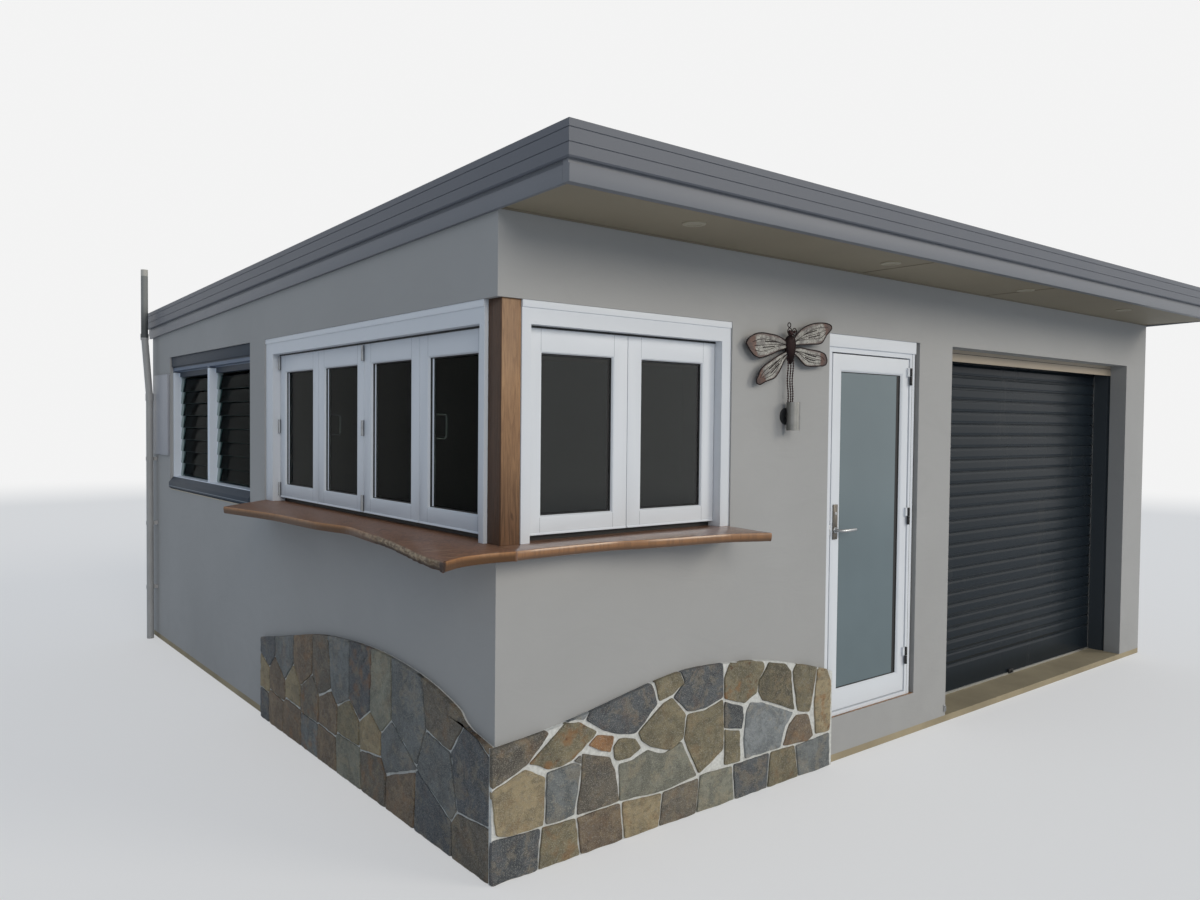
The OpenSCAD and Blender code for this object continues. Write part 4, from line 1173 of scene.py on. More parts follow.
def live_edge_slab(name, node, finish, kind):
    """A slab of timber on the CAD outline. kind(point) gives the shares of bark, end grain and varnish."""
    points = resample(face_outline(node), 0.011)
    edges = [kind(point) for point in points]
    outward = []
    for before, after in zip(points[-1:] + points[:-1], points[1:] + points[:1]):
        along = (after - before).normalized()
        outward.append(Vector((along.y, -along.x)))
    knobs = []
    for point, side, (bark, _, _) in zip(points, outward, edges):
        lump = noise.noise(Vector((point.x * 26, point.y * 26, 2.0))) * 0.7 + noise.noise(
            Vector((point.x * 70, point.y * 70, 5.0))) * 0.3
        knobs.append(point + side * bark * (lump - 0.35) * 0.008)
    rise = counter_high - counter_low
    shape = Shape()
    sections = []
    values = {"bark": [], "end_grain": [], "polish": []}
    rings = ((0, 0.007, 0.016, 0), (0.08, 0.003, 0.011, 1), (0.35, 0.001, 0.004, 1), (0.65, 0, 0, 1),
             (0.9, 0.001, 0.003, 1), (0.97, 0.0025, 0.005, 0.6), (1, 0.006, 0.009, 0))
    for level, inset, bark_inset, shown in rings:
        ring = []
        for point, side, (bark, end, polish) in zip(knobs, outward, edges):
            exposed = max(bark, end, polish)
            lump = noise.noise(Vector((point.x * 40, point.y * 40, level * 3))) * 0.003 * bark * shown
            place = point - side * (inset * exposed + (bark_inset - inset) * bark - lump)
            ring.append(corner + Vector((place.x, place.y, counter_low + rise * level)))
            values["bark"].append(bark * shown)
            values["end_grain"].append(end * shown)
            values["polish"].append(polish * shown)
        sections.append(ring)
    shape.loft(sections)
    made = shape.piece(name, finish, slot="counter_timber", smooth=40)
    for key, numbers in values.items():
        mark(made, key, numbers)
    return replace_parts(made, node)


def side_edge_kind(point):
    """Varnish in front, dark end grain at the very tip, bark along the near side, then varnish."""
    if point.x > -0.1 and point.y > 0 or point.x > -0.002:
        return (0, 0, 0)
    if point.x < -0.348 and point.y < -0.205:
        return (0, 1, 0)
    if point.y < -0.12 and point.x > -0.35:
        return (0, 0, 1)
    bark = min(1.0, max(0.0, (0.95 - point.y) / 0.4))
    return (bark, 0, 1 - bark)


def front_edge_kind(point):
    return (0, 0, 0) if point.y > -0.01 or point.x < 0.001 else (0, 0, 1)


class POD_OT_walls(bpy.types.Operator):
    """Rendered walls, slab and office floor"""
    bl_idname = "pod.walls"
    bl_label = "Walls and floor"

    def execute(self, context):
        dress("render", "front_wall_under_window", "front_wall_piers", "front_wall_top", "side_wall_lower",
              "side_wall_piers", "side_wall_top", "back_wall", "right_wall")
        dress("concrete", "base_slab")
        dress("floor", "office_floor")
        return {"FINISHED"}


class POD_OT_stones(bpy.types.Operator):
    """Stone base of fitted stones in pale mortar"""
    bl_idname = "pod.stones"
    bl_label = "Stone base"

    def execute(self, context):
        sizes = context.scene.pod_sizes
        start = FRONT.span("plinth_front")[0][0]
        stone_base("base_front", "plinth_front", FRONT, FRONT_STONES, start, sizes.stone_relief, 3)
        end = SIDE.span("plinth_side")[0][1]
        stones = more_stones(SIDE_STONES, end, top_line("plinth_side", SIDE), 8)
        cells = fitted_cells(stones, 0.0, end, sizes.mortar_width)
        stone_base("base_side", "plinth_side", SIDE, cells, 0.0, sizes.stone_relief, 5)
        return {"FINISHED"}


class POD_OT_counter(bpy.types.Operator):
    """Live-edge timber counter and the stained corner post on it"""
    bl_idname = "pod.counter"
    bl_label = "Counter and post"

    def execute(self, context):
        sizes = context.scene.pod_sizes
        live_edge_slab("counter_side_slab", "counter_side", "counter_side", side_edge_kind)
        live_edge_slab("counter_front_slab", "counter_front", "counter_front", front_edge_kind)
        eased("corner_post", "post", sizes.timber_easing)
        return {"FINISHED"}


def glaze(shape_bead, shape_gasket, wall, along, up, face, glass, bead, gasket):
    """Glazing bead and gasket round one pane, between a face and the glass, both given as distance out."""
    lip = 0.0015 if face > glass else -0.0015
    shape_bead.surround(wall, along, up, (
        (-0.001, face - lip), (bead * 0.35, face - lip), (bead, glass + (face - glass) * 0.45),
        (bead, glass), (-0.001, glass)))
    shape_gasket.surround(wall, along, up, (
        (bead - 0.001, glass + (face - glass) * 0.36), (bead + gasket * 0.6, glass + (face - glass) * 0.28),
        (bead + gasket, glass), (bead - 0.001, glass)))


def folding_window(wall, side, count, look):
    """Eased frame and leaves with beads, gaskets, a seal in each gap between leaves, dark strips of painted
    shade along the sill and head gaps, and drips.
    """
    eased(side + "_window_frame", "frames", look.easing)
    eased(side + "_window_leaves", "frames", look.easing)
    dress(side + "_glass", side + "_window_glass")
    (start, end), (leaf_in, leaf_out), (foot, head) = wall.span(side + "_window_leaves")
    (first, _), (glass_in, glass_out), (low, high) = wall.span(side + "_window_glass")
    back = wall.span(side + "_window_frame")[1][0]
    gap = 0.003
    width = (end - start - gap * (count - 1)) / count
    stile = first - start
    beads, gaskets, seals_and_shade_strips, bars, joints = Shape(), Shape(), Shape(), Shape(), Shape()
    for i in range(count):
        left = start + i * (width + gap)
        pane = (left + stile, left + width - stile)
        glaze(beads, gaskets, wall, pane, (low, high), leaf_out, glass_out, look.bead * 0.6, look.gasket)
        glaze(beads, gaskets, wall, pane, (low, high), leaf_in, glass_in, look.bead, look.gasket)
        # Painted light: on the side panes a pale strip on the glass stands for the lit inner reveal of the
        # leaf behind it.
        if side == "side":
            beads.block(wall, (pane[1] - 0.032, pane[1] - 0.018), (glass_out, glass_out + 0.0008),
                        (low + 0.008, high - 0.008))
        for x in pane:
            for rail in ((foot + 0.003, low), (high, head - 0.003)):
                joints.block(wall, (x - 0.0006, x + 0.0006), (leaf_out - 0.001, leaf_out + 0.0002), rail)
        if i < count - 1:
            seals_and_shade_strips.block(wall, (left + width + 0.0003, left + width + gap - 0.0003),
                        (leaf_in + 0.006, leaf_out - 0.012), (foot + 0.004, head - 0.004))
        bars.strip(wall, (left + 0.004, left + width - 0.004), (
            (leaf_out, foot + 0.010), (leaf_out + 0.005, foot + 0.004), (leaf_out + 0.005, foot + 0.001),
            (leaf_out, foot + 0.001)))
    # Painted shade: dark strips along the sill and under the head stand for the shade in those gaps.
    seals_and_shade_strips.block(wall, (start - 0.003, end + 0.003), (back + 0.0095, back + 0.014),
                (counter_high + 0.0003, counter_high + 0.0185))
    seals_and_shade_strips.block(wall, (start - 0.003, end + 0.003), (leaf_out - 0.001, leaf_out + 0.003),
                (head - 0.005, head + 0.0037))
    beads.piece(side + "_window_beads", "frames", slot="white_frame")
    gaskets.piece(side + "_window_gaskets", "gasket")
    seals_and_shade_strips.piece(side + "_window_seals_and_shade_strips", "gasket")
    bars.piece(side + "_window_drips", "frames", slot="white_frame")
    joints.piece(side + "_window_joints", "seam")


class POD_OT_windows(bpy.types.Operator):
    """Folding windows of the corner, with their beads, gaskets, seals, handles and hinges"""
    bl_idname = "pod.windows"
    bl_label = "Folding windows"

    def execute(self, context):
        sizes = context.scene.pod_sizes
        folding_window(FRONT, "front", 2, sizes)
        folding_window(SIDE, "side", 4, sizes)
        dress("worn_steel", "window_hinges")
        (start, end), (inside, _), (foot, head) = SIDE.span("side_window_leaves")
        loops = []
        for leaf in (1, 3):
            along = start + (end - start) / 4 * leaf - 0.095
            loop = [(0.004, -0.055), (-0.038, -0.055), (-0.047, -0.051), (-0.050, -0.042), (-0.050, 0.042),
                    (-0.047, 0.051), (-0.038, 0.055), (0.004, 0.055)]
            loops.append([SIDE(along, inside + out, (foot + head) / 2 + 0.015 + up) for out, up in loop])
        grow(wire_tree, "window_handles", "steel", lines_mesh(loops), slot="steel", radius=0.006, sides=12)
        (start, _), (_, face), (foot, head) = FRONT.span("front_window_leaves")
        pins = Shape()
        for low in (foot + 0.03, head - 0.125):
            ends = [FRONT(start - 0.0015, face + 0.001, level) for level in (low, low + 0.095)]
            pins.rod(*ends, 0.004, 12)
        pins.piece("front_jamb_hinges", "steel", slot="steel", smooth=60)
        return {"FINISHED"}


class POD_OT_louvre(bpy.types.Operator):
    """Louvre window: metal frame, two stacks of glass blades, clips and a flashing"""
    bl_idname = "pod.louvre"
    bl_label = "Louvre window"

    def execute(self, context):
        sizes = context.scene.pod_sizes
        eased("louvre_frame", "louvre", sizes.easing)
        eased("louvre_clips", "louvre_clip", 0.001)
        (start, end), (inside, outside), (low, high) = SIDE.span("louvre_blades")
        tilt, thickness, count = math.radians(9), 0.006, 8
        cosine, sine = math.cos(tilt), math.sin(tilt)
        pitch = (high - low - thickness * (cosine + sine)) / (count - 1 + cosine)
        height = pitch + thickness
        rise = height * cosine + thickness * sine
        plane, mullion = (inside + outside) / 2, (start + end) / 2 + MULLION_SHIFT
        edges, ends, stacks = Shape(), Shape(), []
        bays = ((start, mullion - MULLION_HALF), (mullion + MULLION_HALF, end))
        # Each blade has a skin, so it is two shells, the outer one larger than the blade on every side
        for number, (near, far) in enumerate(bays, 1):
            stacks.append(grow(
                blade_tree, f"louvre_blades_{number}", "blade_glass", slot="window_glass",
                length=far - near, height=height, skin=thickness, tilt=tilt, pitch=pitch, count=count,
                first=tuple(SIDE(near, plane, low + rise / 2))))
            for row in range(count):
                foot = low + pitch * row
                lean = height / 2 * sine
                lip, rim = plane + lean + thickness / 2 * cosine, plane - lean + thickness / 2 * cosine
                edges.block(SIDE, (near + 0.002, far - 0.002), (lip - 0.0008, lip + 0.0006),
                            (foot + 0.0006, foot + 0.0024))
                ends.loft([[SIDE(far - 0.013, lip + out, foot + 0.004),
                            SIDE(far - 0.001, lip + out, foot + 0.004),
                            SIDE(far - 0.001, rim + out, foot + pitch - 0.002),
                            SIDE(far - 0.026, rim + out, foot + pitch - 0.002)] for out in (-0.001, 0.0012)])
        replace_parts(stacks[0], "louvre_blades")
        edges.piece("louvre_blade_edges", "blade_edge", slot="window_glass")
        ends.piece("louvre_blade_ends", "louvre_clip", slot="louvre_plastic")
        (near, far), _, (foot, _) = SIDE.span("louvre_frame")
        bar("louvre_flashing", "lamp_trim", SIDE, (near, far), (0.0, 0.003), (foot - 0.007, foot - 0.0005),
            "louvre_metal")
        return {"FINISHED"}


class POD_OT_entry_door(bpy.types.Operator):
    """Entry door: glazed leaf, cover band, gaskets, handle plate, curved lever, lock and hinges"""
    bl_idname = "pod.entry_door"
    bl_label = "Entry door"

    def execute(self, context):
        sizes = context.scene.pod_sizes
        eased("door_frame", "frames", sizes.easing)
        eased("door_leaf", "frames", sizes.easing, "door")
        dress("door_glass", "door_glass")
        dress("frames", "frame_hinges", "leaf_hinges")
        eased("door_plates", "handle_plate", 0.0015, "door")
        (left, right), (back, face), (low, high) = FRONT.span("door_leaf")
        (glass_left, glass_right), (glass_in, glass_out), (glass_low, glass_high) = FRONT.span("door_glass")
        beads, gaskets = Shape(), Shape()
        pane, rise = (glass_left, glass_right), (glass_low, glass_high)
        glaze(beads, gaskets, FRONT, pane, rise, face, glass_out, sizes.bead, sizes.gasket)
        glaze(beads, gaskets, FRONT, pane, rise, back, glass_in, sizes.bead, sizes.gasket)
        beads.piece("door_beads", "frames", "door", slot="white_frame")
        # Painted shade: a dark strip on the glass along its right edge stands for the shade of the stile's
        # reveal.
        gaskets.block(FRONT, (glass_right - 0.040, glass_right - 0.017), (glass_out, glass_out + 0.0005),
                      (glass_low + 0.018, glass_high - 0.018))
        gaskets.piece("door_gaskets_and_shade_strip", "gasket", "door")
        (plate_left, plate_right), (plate_in, plate_out), (plate_low, plate_high) = FRONT.span("door_plates")
        middle = (plate_left + plate_right) / 2
        fasteners("plate_screws",
                  [FRONT(middle, plate_out, z) for z in (plate_low + 0.012, plate_high - 0.012)],
                  (0, -1, 0), 0.0038, 0.0016, "steel", "door")
        lock = Shape()
        lock.lathe(FRONT(middle, plate_out - 0.001, plate_high - 0.048), (0, -1, 0),
                   ((0, 0.0085), (0.0035, 0.0085), (0.0045, 0.0075), (0.0045, 0.0012), (0.004, 0.001)), 28)
        lock.piece("door_lock", "steel", "door", slot="steel")
        (_, tip), (lever_in, lever_out), (lever_low, lever_high) = FRONT.span("door_lever")
        height = (lever_low + lever_high) / 2
        pivot = FRONT.span("door_lever")[0][0] + 0.0095
        lever = Shape()
        for way, reach, base in ((1, lever_out, plate_out), (-1, lever_in, plate_in)):
            sections = []
            path = ((0, -0.012, 0.0092, 0.0092), (0, 0.002, 0.0092, 0.0092), (0, 0.022, 0.0078, 0.0078),
                    (0.004, 0.032, 0.0078, 0.0080), (0.014, 0.0385, 0.0064, 0.0088),
                    (0.030, 0.041, 0.0052, 0.0092),
                    (0.065, 0.040, 0.0046, 0.0092), (0.100, 0.037, 0.0044, 0.0088),
                    (0.128, 0.033, 0.0042, 0.0080), (0.1365, 0.0318, 0.003, 0.006))
            room = abs(reach - base)
            for index, (along, out, thin, tall) in enumerate(path):
                a, o, *_ = path[max(0, index - 1)]
                b, p, *_ = path[min(len(path) - 1, index + 1)]
                heading = Vector((b - a, p - o)).normalized()
                side = Vector((heading.y, -heading.x))
                ring = []
                for k in range(20):
                    angle = k * math.tau / 20
                    across = side * math.cos(angle) * thin
                    out_here = base + way * (out + across.y) * room / LEVER_REACH
                    ring.append(FRONT(pivot + along + across.x, out_here, height + math.sin(angle) * tall))
                sections.append(ring)
            lever.loft(sections)
        lever.rod(FRONT(pivot, plate_in, height), FRONT(pivot, plate_out, height), 0.004)
        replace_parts(lever.piece("door_lever_swept", "steel", "lever", slot="steel", smooth=50), "door_lever")
        rose = Shape()
        for way, base in ((1, plate_out), (-1, plate_in)):
            rose.turned(FRONT(pivot, base - way * 0.001, height), (0, -way, 0),
                        ((0, 0.0165), (0.0035, 0.0165), (0.005, 0.015), (0.005, 0.0102), (0.0, 0.0102)), 32)
        rose.piece("door_roses", "steel", "door", slot="steel")
        bar("door_striker", "steel", FRONT, (left - 0.012, left - 0.003), (face - 0.004, face + 0.0025),
            (height - 0.03, height + 0.03), "steel", 0.001)
        (frame_left, frame_right), _, (frame_foot, frame_head) = FRONT.span("door_frame")
        bar("door_frame_joint", "shadow", FRONT, (frame_right - 0.055, frame_right - 0.053),
            (-0.0155, -0.0146), (frame_foot + 0.001, frame_head - 0.070))
        # Painted shade: a dark grey strip on the frame's set-back right edge stands for the shaded reveal.
        bar("door_reveal_shade_strip", "reveal_board", FRONT, (frame_right - 0.0285, frame_right - 0.0005),
            (-0.0305, -0.0285), (frame_foot + 0.001, frame_head - 0.001))
        bar("threshold_face", "render", FRONT, (frame_left + 0.0005, frame_right - 0.0005), (0.0, 0.0015),
            (0.0405, frame_foot - 0.0005), "render")
        (_, axis), _, _ = FRONT.span("frame_hinges")
        axis -= 0.024
        lower, upper = Shape(), Shape()
        for level in HINGE_LEVELS:
            for shape, low_end, high_end in ((lower, 0.0, 0.049), (upper, 0.051, 0.100)):
                shape.rod(FRONT(axis, -0.006, level + low_end), FRONT(axis, -0.006, level + high_end),
                          0.0085, 20)
        lower.piece("frame_hinge_knuckles", "gasket", slot="steel", bevel=0.0006)
        upper.piece("leaf_hinge_knuckles", "gasket", "door", slot="steel", bevel=0.0006)
        seal = Shape()
        seal.surround(FRONT, (left, right), (low, high), ((-0.0035, face - 0.012), (-0.0008, face - 0.012),
                                                         (-0.0008, face - 0.03), (-0.0035, face - 0.03)))
        seal.piece("door_seal", "gasket")
        return {"FINISHED"}


class POD_OT_roller_door(bpy.types.Operator):
    """Roller door: ribbed curtain, rail, guides, lock, latch and head board"""
    bl_idname = "pod.roller_door"
    bl_label = "Roller door"

    def execute(self, context):
        sizes = context.scene.pod_sizes
        (start, end), (back, face), (low, high) = FRONT.span("roller_curtain")
        sheet = grow(curtain_tree, "roller_curtain_ribbed", "roller", slot="roller_steel", smooth=60,
                     shift=FRONT((start + end) / 2, face, low), width=end - start, height=high - low,
                     pitch=sizes.slat_pitch, depth=sizes.slat_depth, first=FIRST_GROOVE, rows=1100)
        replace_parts(sheet, "roller_curtain")
        dress("rail", "roller_bottom_rail")
        dress("guide", "roller_guides")
        eased("roller_head_board", "head_board", 0.002)
        dress("guide", "roller_drum")
        (opening, closing), _, (rail_foot, _) = FRONT.span("roller_bottom_rail")
        lines, rims = Shape(), Shape()
        lines.block(FRONT, (opening, closing), (-0.1203, -0.1192), (2.3205, 2.3235))
        rims.block(FRONT, (closing - 0.003, closing + 0.001), (face + 0.0004, face + 0.003),
                   (rail_foot + 0.02, 2.27))
        # Painted shade: dark blocks at the grooves' right ends stand for the shade where the grooves run into
        # the guide.
        groove = low + FIRST_GROOVE
        while groove < LAST_GROOVE:
            lines.block(FRONT, (closing - 0.022, closing - 0.003), (face - 0.002, face + 0.0008),
                        (groove - 0.006, groove + 0.006))
            groove += sizes.slat_pitch
        lines.piece("roller_lines_and_groove_shade", "shadow")
        rims.piece("roller_edge_strip", "rail", slot="roller_steel")
        lock = Shape()
        lock.block(FRONT, (4.577, 4.637), (face - 0.004, face + 0.016), (0.047, 0.077))
        lock.rod(FRONT(4.607, face + 0.014, 0.062), FRONT(4.607, face + 0.024, 0.062), 0.010)
        lock.piece("roller_lock", "gasket", bevel=0.0015)
        latch = Shape()
        latch.block(FRONT, (opening - 0.028, opening - 0.006), (0.0, 0.003), (0.062, 0.112))
        latch.rod(FRONT(opening - 0.017, 0.002, 0.100), FRONT(opening - 0.017, 0.012, 0.100), 0.005, 12)
        latch.rod(FRONT(opening - 0.017, 0.011, 0.100), FRONT(opening - 0.017, 0.011, 0.070), 0.003, 12)
        latch.piece("roller_latch", "steel", slot="steel", bevel=0.0006)
        return {"FINISHED"}


class POD_OT_roof(bpy.types.Operator):
    """Roof: cappings, boards, soffit, lamps, screws, ribbed sheet, gutter and downpipe"""
    bl_idname = "pod.roof"
    bl_label = "Roof"

    def execute(self, context):
        sizes = context.scene.pod_sizes
        dress("deck", "roof_deck")
        dress("roof_sheet", "roof_sheet")
        dress("capping", "front_capping", "side_cappings")
        for node in ("front_fascia", "side_fascias", "back_fascia"):
            eased(node, "fascia", sizes.easing)
        dress("soffit", "soffit")
        dress("lamp_trim", "downlights")
        dress("gutter", "back_gutter", "downpipe")
        (_, right), (_, face), (_, top) = FRONT.span("front_capping")
        screws = [FRONT(x, face - 0.004, top - 0.039) for x in FRONT_SCREWS]
        fasteners("capping_screws", screws, FRONT.out, sizes.screw, 0.003, "trim_metal")
        side_face = SIDE.span("side_cappings")[1][1]
        fall = math.tan(ROOF_FALL)
        screws = [SIDE(y, side_face - 0.004, top - 0.044 - (y + 0.5) * fall)
                  for y in SIDE_SCREWS]
        fasteners("side_capping_screws", screws, SIDE.out, sizes.screw, 0.003, "trim_metal")
        strips = Shape()
        for x in SOFFIT_JOINTS:
            strips.block(FRONT, (x - 0.004, x + 0.004), (0.004, 0.442),
                         (soffit_low - 0.002, soffit_low + 0.001))
        # Painted shade: a dark bead along the wall top stands for the shadow line under the soffit.
        strips.strip(FRONT, (0.004, right - 0.034),
                     ((0.0015, soffit_low + 0.0005), (0.0015, soffit_low - 0.008),
                                                    (0.008, soffit_low - 0.008),
                                                    (0.010, soffit_low + 0.0005)))
        strips.piece("soffit_joint_strips_and_shade_bead", "joint_strip", slot="soffit_sheet", bevel=0.0008)
        lenses = Shape()
        for x in DOWNLIGHTS:
            lenses.lathe(FRONT(x, 0.290, soffit_low + 0.001), (0, 0, -1),
                         ((0, 0.036), (0.0025, 0.036), (0.0035, 0.030), (0.0035, 0.002)), 32)
        lenses.piece("downlight_lenses", "lens", slot="lamp_trim")
        return {"FINISHED"}


# Wings of the ornament: upper and lower edge from root to tip, in mm beside and above the shoulder
WINGS = (
    (((-24, 29), (-69, 47), (-111, 57), (-164, 61), (-216, 63), (-262, 57), (-297, 43), (-322, 23),
      (-331, 7)),
     ((-24, 1), (-90, -17), (-133, -33), (-174, -46), (-216, -57), (-246, -60), (-279, -48), (-307, -24),
      (-331, 7))),
    (((24, 46), (56, 80), (94, 108), (145, 129), (196, 141), (253, 147), (299, 146), (328, 138), (336, 124)),
     ((26, 18), (94, 23), (162, 30), (218, 35), (247, 43), (267, 62), (288, 86), (313, 104), (336, 124))),
    (((-26, -18), (-69, -32), (-111, -50), (-164, -77), (-211, -103), (-233, -125), (-243, -147),
      (-255, -168), (-250, -187)),
     ((-20, -40), (-53, -70), (-74, -101), (-96, -129), (-124, -155), (-164, -168), (-200, -180),
      (-228, -192), (-250, -187))),
    (((26, 1), (83, 7), (139, 2), (196, -1), (241, -6), (274, -16), (289, -33), (297, -53), (290, -70)),
     ((24, -22), (61, -44), (89, -66), (117, -82), (156, -85), (196, -83), (236, -79), (267, -77),
      (290, -70))),
)


def smooth_line(points, share):
    """The place at a share of a smooth line through evenly spaced points."""
    index = min(int(share * (len(points) - 1)), len(points) - 2)
    t = share * (len(points) - 1) - index
    a, b, c, d = (Vector(points[max(0, min(len(points) - 1, index + k))]) for k in (-1, 0, 1, 2))
    return b + (c - a + (2 * a - 5 * b + 4 * c - d + (3 * (b - c) + d - a) * t) * t) * 0.5 * t


def ball(radius, least, count):
    """A ball's profile for a lathe. Its poles end on a least radius."""
    turns = [math.pi * i / count for i in range(count + 1)]
    return [(-radius * math.cos(turn), max(least, radius * math.sin(turn))) for turn in turns]


class POD_OT_ornament(bpy.types.Operator):
    """Wire dragonfly on the wall: four film wings, ribbed body and beaded tail"""
    bl_idname = "pod.ornament"
    bl_label = "Dragonfly ornament"

    def execute(self, context):
        sizes = context.scene.pod_sizes
        middle, shoulder, depth = 1.737, 2.239, 0.034

        def at(x, z, lift=0.0):
            return FRONT(middle + x, depth + lift, shoulder + z)

        film, tips, rims, outlines, veins, streaks = Shape(), [], [], [], [], []
        across = (-1, -0.85, -0.5, 0.0, 0.5, 0.85, 1)
        marks = steps(0, 0.985, 33)
        for upper, lower in WINGS:
            root = (Vector(upper[0]) + Vector(lower[0])) / 2
            span = (Vector(upper[-1]) - root).length

            def on_wing(share, side, lift=0.0):
                """A point at a share of the wing's length, from its lower edge, -1, to its upper one, 1."""
                flat = smooth_line(lower, share).lerp(smooth_line(upper, share), (side + 1) / 2)
                return at(flat.x * MM, flat.y * MM, 0.006 * math.sin(math.pi * share) + lift)

            film.loft([[on_wing(share, side, -0.0006) for side in across]
                       + [on_wing(share, side, 0.0006) for side in reversed(across)] for share in marks])
            for share in marks:
                for side in (*across, *reversed(across)):
                    flat = smooth_line(lower, share).lerp(smooth_line(upper, share), (side + 1) / 2)
                    tips.append((flat - root).length / span)
                    rims.append(abs(side))
            outline = [on_wing(share, 1) for share in steps(0, 1, 40)]
            outline += [on_wing(share, -1) for share in steps(0.975, 0, 39)]
            outlines.append(outline + outline[:1])
            for start, end, side in ((0.02, 0.7, 0.0), (0.02, 0.75, 0.5), (0.02, 0.7, -0.5)):
                veins.append([on_wing(share, side * math.sin(math.pi * share), 0.001)
                              for share in steps(start, end, 14)])
            for start, end, side in ((0.2, 0.46, 0.3), (0.26, 0.5, -0.2)):
                streaks.append([on_wing(share, side, 0.0015) for share in steps(start, end, 8)])
        made = film.piece("ornament_wings", "wing", slot="copper", smooth=60)
        mark(made, "tip", tips)
        mark(made, "rim", rims)
        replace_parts(made, "dragonfly_ornament")
        for name, lines, share, sides in (
                ("ornament_wing_wires", outlines, 1, 8), ("ornament_veins", veins, 0.4, 6),
                ("ornament_streaks", streaks, 0.8, 6)):
            grow(wire_tree, name, "wire", lines_mesh(lines), slot="copper", radius=sizes.wire * share,
                 sides=sides)
        profile = ((-0.080, 0.004), (-0.070, 0.010), (-0.045, 0.019), (-0.015, 0.029), (0.010, 0.034),
                   (0.030, 0.033), (0.048, 0.025), (0.060, 0.015), (0.064, 0.006))
        core, turns = Shape(), [k * math.tau / 24 for k in range(24)]
        core.loft([[at(wide * math.cos(turn), z, min(wide, 0.021) * math.sin(turn)) for turn in turns]
                   for z, wide in profile])
        core.lathe(at(0, 0.076), (0, 0, 1), ball(0.014, 0.0006, 10), 24)
        core.piece("ornament_body", "body", slot="copper", smooth=60)
        ribs = [[at((wide + 0.0004) * math.cos(turn), z, (min(wide, 0.021) + 0.0004) * math.sin(turn))
                 for z, wide in profile] for turn in turns]
        grow(wire_tree, "ornament_body_ribs", "wire", lines_mesh(ribs), slot="copper", radius=0.0016,
             sides=7)
        eyes, rings = Shape(), []
        for x in (-0.0185, 0.0185):
            eyes.lathe(at(x, 0.084, 0.010), (0, 0, 1), ball(0.0075, 0.0004, 8), 16)
            rings.append([at(x + 0.0155 * math.cos(turn), 0.084 + 0.0175 * math.sin(turn), 0.010)
                          for turn in steps(0, math.tau, 25)])
        rings.append([at(0.0115 * math.cos(turn) - 0.013, 0.117 + 0.0115 * math.sin(turn), 0.002)
                      for turn in steps(0, math.tau, 25)])
        for ring in rings:
            ring[-1] = ring[0]
        eyes.piece("ornament_eyes", "body", slot="copper", smooth=60)
        tails = [[at(x + (end - x) * share, -0.05 + (foot + 0.05) * share, 0.003 * math.sin(9 * share))
                  for share in steps(0, 1, 24)]
                 for x, end, foot in ((-0.019, -0.013, -0.270), (0.002, 0.0065, -0.273),
                                      (0.022, 0.022, -0.270))]
        pins = [[FRONT(middle, 0.0015, shoulder - 0.020), at(0, -0.020)]]
        grow(wire_tree, "ornament_rings_and_pins", "wire", lines_mesh(rings + tails + pins), slot="copper",
             radius=0.0026, sides=7)
        grow(bead_tree, "ornament_beads", "body", lines_mesh(tails), slot="copper", radius=0.0046,
             spacing=0.0125, smooth=60)
        return {"FINISHED"}


class POD_OT_fittings(bpy.types.Operator):
    """Wall light with its lenses, vent pipe and the bare board"""
    bl_idname = "pod.fittings"
    bl_label = "Wall fittings"

    def execute(self, context):
        dress("lamp_steel", "wall_light")
        dress("pipe", "vent_pipe")
        eased("notice_board", "board", 0.003)
        (left, right), (_, out), (low, high) = FRONT.span("wall_light")
        x, y = (left + right) / 2, out - 0.0345
        glasses = Shape()
        for z, way in ((low, -1), (high, 1)):
            glasses.lathe(FRONT(x, y, z - way * 0.0065), (0, 0, way),
                          ((0, 0.0285), (0.003, 0.0285), (0.0045, 0.024), (0.005, 0.002)), 28)
        glasses.piece("wall_light_lenses", "lens", slot="steel")
        return {"FINISHED"}


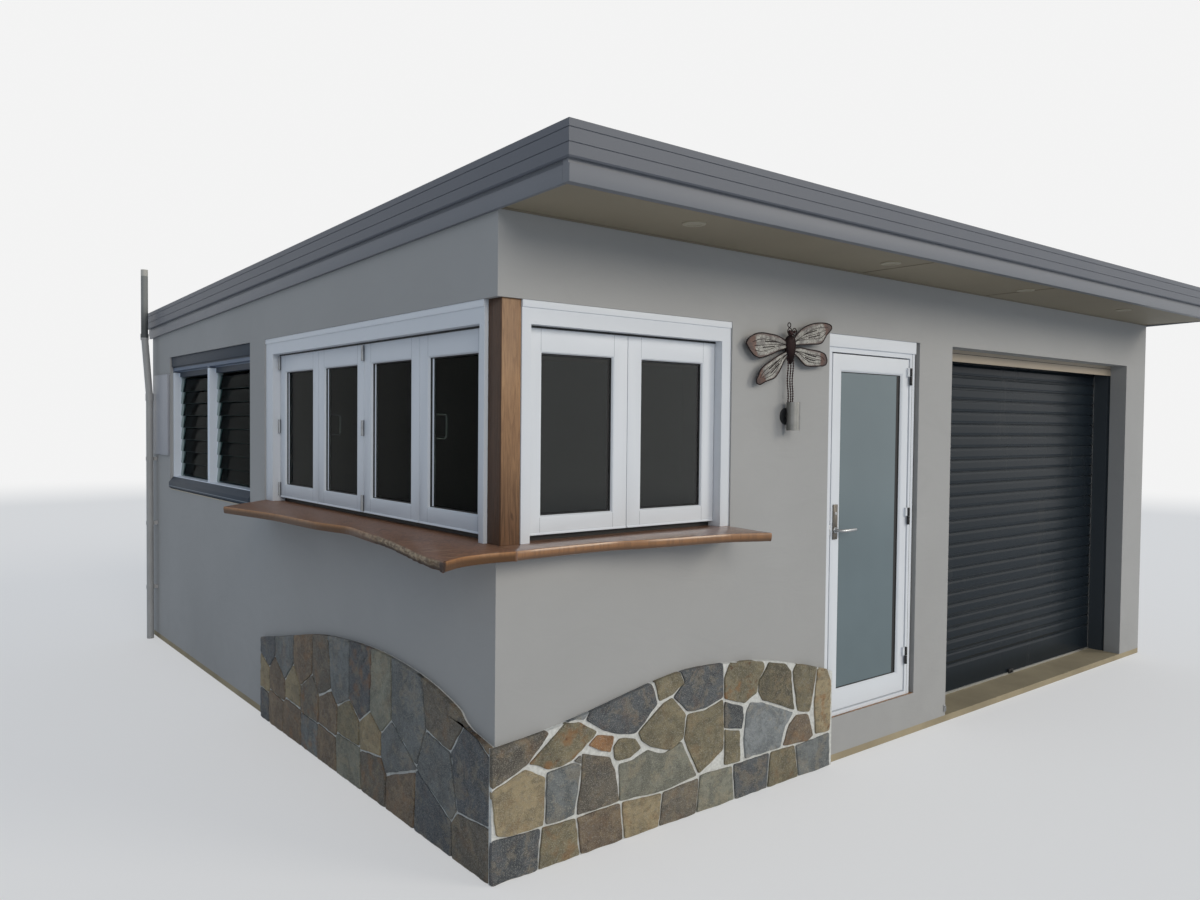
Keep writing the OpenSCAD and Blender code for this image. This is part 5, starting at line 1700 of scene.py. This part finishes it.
class POD_OT_stage(bpy.types.Operator):
    """Pale floor, plain background, soft lamps and the camera"""
    bl_idname = "pod.stage"
    bl_label = "Stage"

    def execute(self, context):
        scene, stage = context.scene, context.scene.pod_stage
        finish = Finish("studio_floor")
        distance = finish.node("ShaderNodeVectorMath", {"operation": "LENGTH"}, {0: finish.place}, output=1)
        camera = finish.node("ShaderNodeLightPath", output="Is Camera Ray")
        seen = camera.larger(camera.other("Is Glossy Ray")).larger(camera.other("Is Transmission Ray"))
        fade = (distance.between(stage.fade_start, stage.fade_end) * seen).larger(camera * 0.45)
        shader = finish.node("ShaderNodeBsdfPrincipled", None, {
            "Base Color": finish.mix(finish.noise(0.6, 2), shade(stage.floor, 0.995), stage.floor),
            "Roughness": 0.85, "Specular IOR Level": 0.2})
        glow = finish.node("ShaderNodeEmission", None, {"Color": stage.backdrop, "Strength": 1.0})
        both = finish.node("ShaderNodeMixShader", None, {0: fade, 1: shader, 2: glow})
        finish.node("ShaderNodeOutputMaterial", None, {"Surface": both})
        bm = bmesh.new()
        bmesh.ops.create_circle(bm, cap_ends=True, radius=stage.floor_radius, segments=96)
        mesh = mesh_from(bm, "studio_floor")
        mesh.materials.append(finish.material)
        floor = bpy.data.objects.new("studio_floor", mesh)
        floor.location.z = -0.002
        scene.collection.objects.link(floor)

        world = bpy.data.worlds.new("studio")
        world.use_nodes = True
        world.node_tree.nodes.clear()
        graph = Graph(world.node_tree)
        path = graph.node("ShaderNodeLightPath")
        indoors = path.other("Diffuse Depth").smaller(1.0)
        seen = path.larger(path.other("Is Transmission Ray")).larger(path.other("Is Glossy Ray"))
        seen = seen * (1 - indoors)
        tint = graph.node("ShaderNodeMix", {"data_type": "RGBA"},
                          {0: seen, 6: (0.70, 0.83, 1.0), 7: stage.backdrop}, output=2)
        shown = graph.node("ShaderNodeBackground", None, {
            "Color": tint, "Strength": stage.sky * (1 - seen) + seen})
        graph.node("ShaderNodeOutputWorld", None, {"Surface": shown})
        scene.world = world

        for name, energy, tint, angle, turn in (("key", stage.key, (1.0, 0.92, 0.79), 24, (70, 0, 38)),
                                                ("second", stage.key * 0.78, (1.0, 0.93, 0.84), 30,
                                                 (67, 0, -14))):
            light = bpy.data.lights.new(name, "SUN")
            light.energy = energy
            light.color = tint
            light.angle = math.radians(angle)
            lamp = bpy.data.objects.new(name, light)
            lamp.rotation_euler = [math.radians(value) for value in turn]
            scene.collection.objects.link(lamp)
        scene.view_settings.view_transform = "Standard"

        camera = bpy.data.cameras.new("camera")
        camera.lens = stage.lens
        camera.clip_end = 300
        eye = bpy.data.objects.new("camera", camera)
        eye.matrix_world = (Matrix.Translation(stage.camera_place) @ Matrix.Rotation(-stage.heading, 4, "Z")
                            @ Matrix.Rotation(math.radians(90) + stage.pitch, 4, "X")
                            @ Matrix.Rotation(stage.roll, 4, "Z"))
        scene.collection.objects.link(eye)
        scene.camera = eye
        return {"FINISHED"}


PIECES = (POD_OT_walls, POD_OT_stones, POD_OT_counter, POD_OT_windows, POD_OT_louvre, POD_OT_entry_door,
          POD_OT_roller_door, POD_OT_roof, POD_OT_ornament, POD_OT_fittings, POD_OT_stage)
GROUPS = {"pod_colours": PodColours, "pod_sizes": PodSizes, "pod_stage": PodStage}


class POD_PT_panel(bpy.types.Panel):
    """The pod's operators and their sizes and colours"""
    bl_idname = "POD_PT_panel"
    bl_label = "Garden office pod"
    bl_space_type = "VIEW_3D"
    bl_region_type = "UI"
    bl_category = "Pod"

    def draw(self, context):
        layout = self.layout
        for piece in PIECES:
            layout.operator(piece.bl_idname)
        for name, group in GROUPS.items():
            box = layout.box()
            for item in group.__annotations__:
                box.prop(getattr(context.scene, name), item)


def register():
    for group in (*GROUPS.values(), *PIECES, POD_PT_panel):
        bpy.utils.register_class(group)
    for name, group in GROUPS.items():
        setattr(bpy.types.Scene, name, bpy.props.PointerProperty(type=group))


def unregister():
    for name in GROUPS:
        delattr(bpy.types.Scene, name)
    for group in reversed((*GROUPS.values(), *PIECES, POD_PT_panel)):
        bpy.utils.unregister_class(group)


def main():
    register()
    make_finishes(bpy.context.scene.pod_colours)
    for piece in PIECES:
        group, name = piece.bl_idname.split(".")
        getattr(getattr(bpy.ops, group), name)()


if __name__ == "__main__":
    main()
